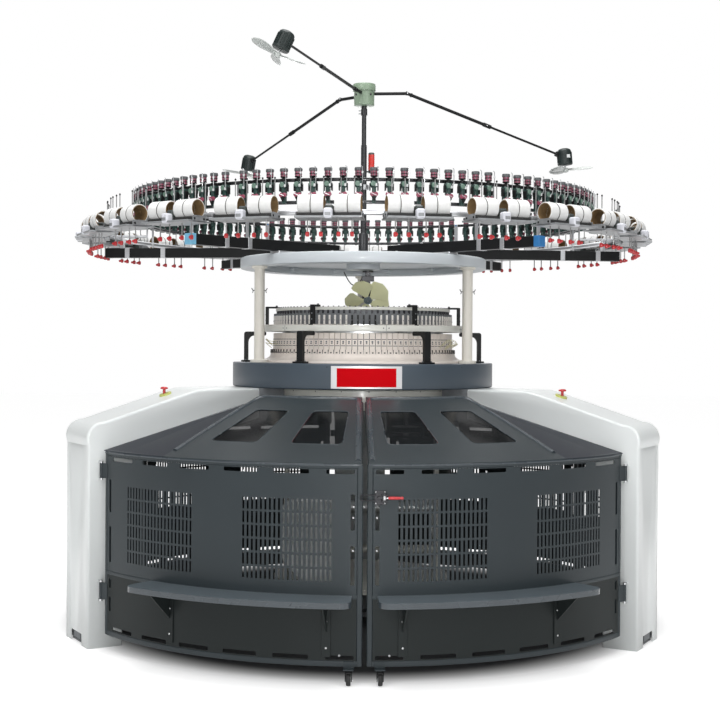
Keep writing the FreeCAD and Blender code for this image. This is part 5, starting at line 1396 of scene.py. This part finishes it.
def rail_shapes():
    """Two dark feeder rings and the bright ring under the roll cradles."""
    shape = Shape()
    for low in (FEEDER_LOW, FEEDER_HIGH):
        outline = rounded(oblong(RING_INNER, RING_INNER + 0.014, low, low + 0.016), 0.005, 3)
        shape.lathe(outline, 0, sides=180, closed=True)
    outline = oblong(ROLL_INNER, ROLL_INNER + ROLL_BAR, ROLL_RING_LOW, ROLL_RING_LOW + ROLL_BAR)
    shape.lathe(rounded(outline, 0.009, 5), 1, sides=180, closed=True)
    shape.piece("ring_rail_set", [DARK_METAL_AND_PAINTED_REFLECTION, ALU], "black_paint", ["ring_rails"], smooth=40)


def feeder_angles():
    reach = FEEDER_PITCH * (FEEDERS_IN_GROUP - 1) / 2
    return [60.0 * group - reach + FEEDER_PITCH * k
            for group in range(FEEDER_GROUPS) for k in range(FEEDERS_IN_GROUP)]


def feeder_body(body, at):
    """A green housing that hangs on the rings, with dial, window, tension discs, lever and wires."""
    green, steel, black, burgundy, white, pale = range(6)
    near, far = FEEDER_NEAR, FEEDER_FAR
    low, high = FEEDER_LOW + 0.021, FEEDER_HIGH + 0.012
    neck = [(0.0, -0.013), (0.0165, -0.013), (0.0175, -0.011), (0.0175, -0.003), (0.0140, 0.0), (0.0, 0.0)]
    body.lathe(neck, black, at @ move(0, -FEEDER_CIRCLE, high), sides=14)
    body.slab(0.0158, (-near - 0.039, -near), (high - 0.044, high - 0.012), green, at, bevel=0.0055)
    for side in BOTH:
        x0, x1 = span(side, 0.0150, 0.0205)
        body.box((x0, -near - 0.032, high - 0.058), (x1, -near - 0.010, high - 0.024), black, at, bevel=0.002)
    body.slab(0.0095, (-near - 0.036, -near), (low + 0.014, high - 0.040), green, at, bevel=0.004)
    body.lathe([(0.0115, 0.0), (0.0115, 0.0030), (0.0095, 0.0050), (0.0, 0.0050)], pale,
               at @ move(-0.004, -near - 0.037, high - 0.028) @ tip(90), sides=12)
    body.box((0.0050, -near - 0.0405, high - 0.040), (0.0150, -near - 0.036, high - 0.027), white, at,
             bevel=0.0015)
    for side in BOTH:
        body.lathe([(0.0098, 0.0), (0.0098, 0.0045), (0.0060, 0.0060), (0.0, 0.0060)], burgundy,
                   at @ move(side * 0.0085, -near - 0.034, low + 0.018) @ tip(90), sides=12)
    lever = [(-0.0125, low + 0.008), (0.0125, low + 0.008), (0.0020, low - 0.012), (-0.0020, low - 0.012)]
    body.prism(lever, -near - 0.039, -near - 0.036, black, at, along_y=True)
    body.slab(0.0085, (-near - 0.030, -near - 0.004), (FEEDER_LOW, low + 0.016), green, at, bevel=0.003)
    body.tube([(-0.012, 0.002 - far, low + 0.030), (-0.012, -far - 0.004, low + 0.022),
               (0.010, -far - 0.004, low + 0.012)], 0.0013, steel, at, sides=5)
    body.tube([(0.0145, 0.004 - far, high - 0.030), (0.0175, -far - 0.002, high - 0.016),
               (0.0175, -far - 0.002, high + 0.046), (0.0115, -far - 0.002, high + 0.0495)],
              0.0019, steel, at, sides=6)
    body.box((0.0140, -far - 0.005, high + 0.017), (0.0210, -far, high + 0.026), white, at)


def feeder_wheel(wheel, at, low):
    """The storage wheel: upright ribs in two colours, with a ring, a lower rim and a cap."""
    ribs, black, pale_ribs, cap = range(4)
    sides, radius = 16, 0.0160
    wheel.lathe([(0.0, low), (0.0110, low), (0.0150, low + 0.0015), (0.0172, low + 0.005)], black, at,
                sides=sides)
    for i in range(sides):
        a, b = 360.0 / sides * i, 360.0 / sides * ((i + 1) % sides)
        rib = [spot(radius, a, low + 0.005), spot(radius, b, low + 0.005),
               spot(radius, b, low + 0.027), spot(radius, a, low + 0.027)]
        wheel.add(rib, [(0, 1, 2, 3)], ribs if i % 2 else pale_ribs, at)
    wheel.lathe([(0.0172, low + 0.005), (radius, low + 0.0055)], black, at, sides=sides)
    wheel.lathe([(0.0161, low + 0.014), (0.0168, low + 0.015), (0.0168, low + 0.017), (0.0161, low + 0.018)],
                black, at, sides=sides)
    wheel.lathe([(radius, low + 0.027), (0.0188, low + 0.030), (0.0188, low + 0.038), (0.0172, low + 0.042),
                 (0.0, low + 0.043)], cap, at, sides=sides)


def feeder_shapes():
    body, wheel = Shape(), Shape()
    for angle in feeder_angles():
        feeder_body(body, spin(angle))
        feeder_wheel(wheel, spin(angle) @ move(0, -FEEDER_CIRCLE, 0), FEEDER_HIGH + 0.012 + 0.003)
    body.piece("feeder_body_set", [DARK_GREEN, STEEL, BLACK, BURGUNDY, WHITE_PLASTIC, FEEDER_PALE],
               "green_plastic", ["feeder_bodies"], smooth=40)
    wheel.piece("feeder_wheel_set", [BURGUNDY, BLACK, WHEEL_GREY, WHEEL_TOP], "burgundy_wheel",
                ["feeder_wheels"], smooth=40)


# ---- roll cradles --------------------------------------------------------------------------------------
ROLLER_SPREAD = 0.030
ROLLER_DROP = math.sqrt(0.0548 ** 2 - ROLLER_SPREAD ** 2)
TRAY_INNER, TRAY_OUTER = ROLL_CIRCLE - 0.073, ROLL_CIRCLE + 0.073
TRAY_END = 0.143


def cradle_shape(cradle, at):
    """A tray with a folded rim and end cheeks, its saddle on the ring, and the drive box in its middle."""
    tray, box_white, black, box_dark = range(4)
    low, wall = CRADLE_LOW, CRADLE_LOW + 0.0075
    inner, outer, end = TRAY_INNER, TRAY_OUTER, TRAY_END
    cradle.slab(end, (-outer, -inner), (low, low + 0.003), tray, at)
    for y in (-outer, -inner - 0.003):
        cradle.slab(end, (y, y + 0.003), (low + 0.002, wall), tray, at, bevel=0.0012)
        lip = [(side * 0.1425, y + 0.0015, wall - 0.0015) for side in BOTH]
        cradle.tube(lip, 0.0024, tray, at, sides=8)
    cheek = rounded(oblong(-ROLL_CIRCLE - 0.042, -ROLL_CIRCLE + 0.042, low, low + 0.030), 0.008, 3)
    for side in BOTH:
        x0, x1 = span(side, end - 0.003, end)
        cradle.box((x0, -outer + 0.002, low + 0.002), (x1, -inner - 0.002, wall), tray, at, bevel=0.001)
        cradle.prism(cheek, x0, x1, tray, at)
        for y in (-ROLL_CIRCLE - ROLLER_SPREAD, -ROLL_CIRCLE + ROLLER_SPREAD):
            cradle.screw(at @ move(side * end, y, ROLL_HEIGHT - ROLLER_DROP) @ spin(90 * side), 0.006, black)
    cradle.slab(0.030, (-inner - 0.003, -ROLL_INNER), (low, ROLL_RING_LOW), tray, at, bevel=0.002)
    cradle.slab(0.0185, (-outer + 0.0300, -inner - 0.0036), (low + 0.0035, low + 0.0585), box_dark, at,
                bevel=0.006)
    cradle.slab(0.0188, (-outer - 0.0040, -outer + 0.036), (low - 0.002, low + 0.041), box_white, at,
                bevel=0.006)
    cradle.slab(0.0120, (-outer - 0.0046, -outer - 0.0030), (low + 0.008, low + 0.022), tray, at)


def yarn_rolls(rolls, where, side):
    """Two wound rolls on paper cores on one side of the drive box, with a dark ring between them."""
    yarn, core, ring = range(3)
    for near in (0.023, 0.081):
        a, b = span(side, near, near + 0.055)
        drift = rng.uniform(-0.0006, 0.0004)
        flank = [(0.0392, 0.0012), (0.0425 + drift, 0.0004), (0.0441 + drift, 0.0030), (0.0445 + drift, 0.010)]
        outline = [(r, a + x) for r, x in flank] + [(r, b - x) for r, x in flank[::-1]]
        rolls.lathe(outline, yarn, where, sides=30)
        rolls.lathe([(0.0392, a), (0.0392, b), (0.0372, b), (0.0372, a)], core, where, sides=30, closed=True)
    rolls.lathe(oblong(0.0395, 0.0438, *span(side, 0.0783, 0.0807)), ring, where, sides=30, closed=True)


def stop_shapes(stops, at):
    """Under each roll a red stop sensor on its stem, and behind it a guide rod that stands on the ring."""
    red, black, grey = 0, 2, 3
    head = CRADLE_LOW - 0.054
    middle = ROLL_INNER + ROLL_BAR / 2
    tip_level = ROLL_HEIGHT + 0.0445 + 0.092
    for x in (-0.096, -0.038, 0.038, 0.096):
        under = at @ move(x, -ROLL_CIRCLE, head)
        stops.tube([(0, 0, CRADLE_LOW - head), (0, 0, -0.002)], 0.0030, grey, under, sides=8)
        stops.lathe([(0.0, -0.0215), (0.0060, -0.0210), (0.0088, -0.017), (0.0090, -0.010), (0.0088, -0.004),
                     (0.0060, -0.0005), (0.0, -0.0005)], red, under, sides=14)
        stops.box((-0.0030, -0.0185, -0.017), (0.0085, -0.004, -0.005), red, under, bevel=0.003)
        rod = at @ spin(math.degrees(math.asin(x / middle))) @ move(0, -middle, tip_level)
        stops.tube([(0, 0, ROLL_RING_LOW + ROLL_BAR - tip_level), (0, 0, -0.004)], 0.0026, grey, rod, sides=6)
        stops.lathe([(0.0, -0.010), (0.0036, -0.010), (0.0045, -0.004), (0.0, 0.0)], black, rod, sides=8)


def roll_shapes():
    """Cradles with a drive box, four rubber rollers and four rolls of white yarn in each."""
    cradle, rolls, rollers, stops = Shape(), Shape(), Shape(), Shape()
    for number in range(UNITS):
        at = spin(360.0 / UNITS * (number + 0.5) + UNIT_TWIST)
        cradle_shape(cradle, at)
        for side in BOTH:
            yarn_rolls(rolls, at @ across(0, -ROLL_CIRCLE, ROLL_HEIGHT), side)
            start, end = span(side, 0.0193, 0.1397)
            flank = [(0.0, 0.0), (0.0040, 0.0), (0.0040, 0.003), (0.0096, 0.0035), (0.0099, 0.005)]
            outline = [(r, start + x) for r, x in flank] + [(r, end - x) for r, x in flank[::-1]]
            for offset in (-ROLLER_SPREAD, ROLLER_SPREAD):
                axle = at @ across(0, -ROLL_CIRCLE - offset, ROLL_HEIGHT - ROLLER_DROP)
                rollers.lathe(outline, 0, axle, sides=16)
        stop_shapes(stops, at)
    cradle.piece("cradle_set", [TRAY_GREY, BOX_WHITE, BLACK, BOX_DARK], "aluminium", ["roll_cradles"])
    rolls.piece("yarn_roll_set", [YARN, CARDBOARD, DARK_GREY], "white_yarn", ["yarn_rolls"], smooth=50)
    rollers.piece("rubber_roller_set", [RUBBER], "black_rubber", ["drive_rollers"], smooth=40)
    stops.piece("stop_and_rod_set", [RED, STEEL, BLACK, ROD_GREY], "red_plastic", ["yarn_stops"], smooth=40)


# ---- small parts and the nodes that keep their own shape -------------------------------------------------
def takedown_cover():
    """The light cover plate on the front of the takedown frame, seen through the left vent."""
    face = -0.2165
    shape = Shape()
    outline = [(-0.300, 0.176), (-0.075, 0.176), (-0.075, 0.610), (-0.396, 0.610), (-0.415, 0.590),
               (-0.415, 0.300)]
    shape.prism(rounded(outline, 0.020, 4), face, face + 0.0045, 0, along_y=True)
    shape.box((-0.405, face + 0.004, 0.560), (-0.385, -0.2000, 0.590), 0)
    shape.box((-0.110, face + 0.004, 0.200), (-0.090, -0.0200, 0.230), 0)
    for x, z in ((-0.395, 0.585), (-0.395, 0.330), (-0.095, 0.585), (-0.095, 0.200)):
        shape.screw(move(x, face, z), 0.007, 1, 10)
    shape.piece("takedown_cover", [PEARL, STEEL], "light_paint", body="cylinder")


def stop_buttons():
    """Mushroom heads on the two front legs."""
    r = 0.019
    for name in ("stop_button_left", "stop_button_right"):
        low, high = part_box(name)
        shape = Shape()
        shape.lathe([(0.0, low.z), (0.0066, low.z), (0.0070, high.z - 0.0135), (0.0105, high.z - 0.0125),
                     (r - 0.001, high.z - 0.0115), (r, high.z - 0.0095), (r, high.z - 0.006),
                     (r - 0.0025, high.z - 0.0028), (r * 0.6, high.z - 0.0008), (0.0, high.z)], 0,
                    move((low.x + high.x) / 2, (low.y + high.y) / 2, 0))
        shape.piece(name.replace("button", "head"), [RED], "red_plastic", [name], name, smooth=45)


def dress(material, *names):
    """Gives carried-over nodes their finish."""
    for name in names:
        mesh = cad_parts[name].data
        mesh.materials.clear()
        mesh.materials.append(material)


leg_covers()
vent_plates()
guards()
bed_shapes()
nameplate()
pillar_shapes()
top_plate_shape()
head_sections()
cam_saddle()
guide_ring()
yarn_guide_set()
sinker_ring()
head_clamps()
head_wires()
centre_blower()
mast_shapes()
signal_lamp()
turning_blowers()
arm_shapes()
rail_shapes()
feeder_shapes()
roll_shapes()
takedown_cover()
stop_buttons()
dress(PANE_WITH_PAINTED_SHADE, "door_right_windows", "door_left_windows", "rear_guard_windows")
dress(GUN, "leg_frames", "levelling_feet", "takedown_stand")
dress(YELLOW, "stop_button_bases")
dress(STEEL, "hinge_pins", "main_gear", "drive_shaft", "motor_pulley", "needle_cylinder",
      "takedown_roller_back", "takedown_roller_front")
dress(RUBBER, "drive_belt")
dress(MOTOR_GREEN, "drive_motor")
dress(RING_GREY, "takedown_frame")


# ---- camera, floor and light -----------------------------------------------------------------------
CAMERA_PLACE = (-0.0669, -6.9147, 1.426)
CAMERA_HEADING = 0.437      # degrees to the right
CAMERA_DIP = 0.424          # degrees down
CAMERA_ROLL = 0.356
CAMERA_LENS = 64.14
WHITE = (1, 1, 1, 1)
FLOOR_COLOUR = (0.82, 0.82, 0.82, 1)
# floor colour under the machine: painted shade
FLOOR_PAINTED_SHADE = (0.085, 0.088, 0.092, 1)
FLOOR_GLOW = 0.53
FADE_RADII = (1.30, 1.62)
STUDIO_LIGHT = 0.68
LEFT_SHADE, RIGHT_SHADE = 0.38, 0.46
SIDE_FADE = (0.30, 0.90)
# name, place, size, watts and the point that the lamp looks at
LAMPS = (("key", (-3.2, -5.4, 5.0), 3.0, 70, (0, 0, 1.2)),
         ("fill", (3.6, -5.2, 4.2), 3.0, 45, (0, 0, 1.2)),
         ("front", (-0.07, -7.1, 1.50), 0.5, 80, (0, 0, 1.0)),
         ("top", (0, -1.2, 6.0), 4.0, 190, (0, 0, 0)),
         ("back", (0, 5.0, 3.6), 3.5, 80, (0, 0, 1.4)))
# a narrow beam on the yarn rolls, the knitting head and the blades of the small blower
BEAM_PLACE = (-0.07, -7.05, 1.72)
BEAM_TARGET = (0, 0, 1.56)
BEAM_POWER = 220
BEAM_ANGLE = 10.5


def link_object(name, data, matrix):
    thing = bpy.data.objects.new(name, data)
    scene.collection.objects.link(thing)
    thing.matrix_world = matrix
    return thing


def add_camera():
    data = bpy.data.cameras.new("camera")
    data.lens = CAMERA_LENS
    data.sensor_width = 36.0
    data.sensor_fit = "HORIZONTAL"
    data.clip_end = 100
    aim = spin(-CAMERA_HEADING) @ tip(90 - CAMERA_DIP) @ spin(CAMERA_ROLL)
    scene.camera = link_object("camera", data, move(*CAMERA_PLACE) @ aim)


def floor_material():
    """A pale floor, white to the camera and in reflections, that still takes the machine's shadow.

    Under the machine its colour is painted dark and its glow fades out, a painted shade that keeps the inside
    dark."""
    material, tree, shader = new_material("pale_floor")
    rays = add_node(tree, "LightPath", {}).node.outputs
    seen = add_math(tree, "MAXIMUM", rays["Is Camera Ray"], rays["Is Glossy Ray"])
    seen = add_math(tree, "MAXIMUM", seen, rays["Is Transmission Ray"])
    here = add_node(tree, "NewGeometry", {}, "Position")
    radius = add_node(tree, "VectorMath", {0: here}, "Value", operation="LENGTH")
    # the fade from the painted shade under the machine to the pale floor outside
    fade = add_node(tree, "MapRange", {"Value": radius, "From Min": FADE_RADII[0], "From Max": FADE_RADII[1]},
                    interpolation_type="SMOOTHSTEP")
    tint = add_node(tree, "Mix", {"Factor": fade, "A": FLOOR_PAINTED_SHADE, "B": FLOOR_COLOUR}, "Result",
                    data_type="RGBA")
    glow = add_math(tree, "MULTIPLY", add_math(tree, "MULTIPLY", seen, FLOOR_GLOW), fade)
    feed(shader, {"Roughness": 0.9, "Specular IOR Level": 0.1, "Base Color": tint, "Emission Color": WHITE,
                  "Emission Strength": glow})
    return material


def studio_world():
    """White to the camera; otherwise brighter in front and above than at the two sides."""
    world = bpy.data.worlds.new("studio")
    scene.world = world
    world.use_nodes = True
    tree = world.node_tree
    rays = add_node(tree, "LightPath", {}).node.outputs
    seen = add_math(tree, "MAXIMUM", rays["Is Camera Ray"], rays["Is Transmission Ray"])
    way = add_node(tree, "TexCoord", {}, "Generated")
    x = add_node(tree, "SeparateXYZ", {"Vector": way}, "X")
    near, far = SIDE_FADE
    shades = []
    for side, shade in ((-1, LEFT_SHADE), (1, RIGHT_SHADE)):
        limits = {"Value": x, "From Min": side * near, "From Max": side * far, "To Max": shade}
        shades.append(add_node(tree, "MapRange", limits, interpolation_type="SMOOTHSTEP"))
    ambient = add_math(tree, "SUBTRACT", STUDIO_LIGHT, add_math(tree, "ADD", *shades))
    strength = add_node(tree, "MapRange", {"Value": seen, "To Min": ambient, "To Max": 1.0})
    feed(tree.nodes["Background"], {"Color": WHITE, "Strength": strength})


def looking_at(place, target):
    way = Vector(target) - Vector(place)
    return move(*place) @ way.to_track_quat("-Z", "Y").to_matrix().to_4x4()


def stage():
    bpy.ops.mesh.primitive_plane_add(size=60, location=(0, 0, 0))
    floor = bpy.context.object
    floor.name = "floor"
    floor.data.materials.append(floor_material())
    studio_world()
    for name, place, size, power, target in LAMPS:
        data = bpy.data.lights.new(name, "AREA")
        data.shape = "DISK"
        data.size = size
        data.energy = power
        link_object(name, data, looking_at(place, target))
    data = bpy.data.lights.new("head", "SPOT")
    data.energy = BEAM_POWER
    data.spot_size = math.radians(BEAM_ANGLE)
    data.spot_blend = 0.7
    data.shadow_soft_size = 0.15
    link_object("head", data, looking_at(BEAM_PLACE, BEAM_TARGET))
    scene.view_settings.view_transform = "Standard"


add_camera()
stage()
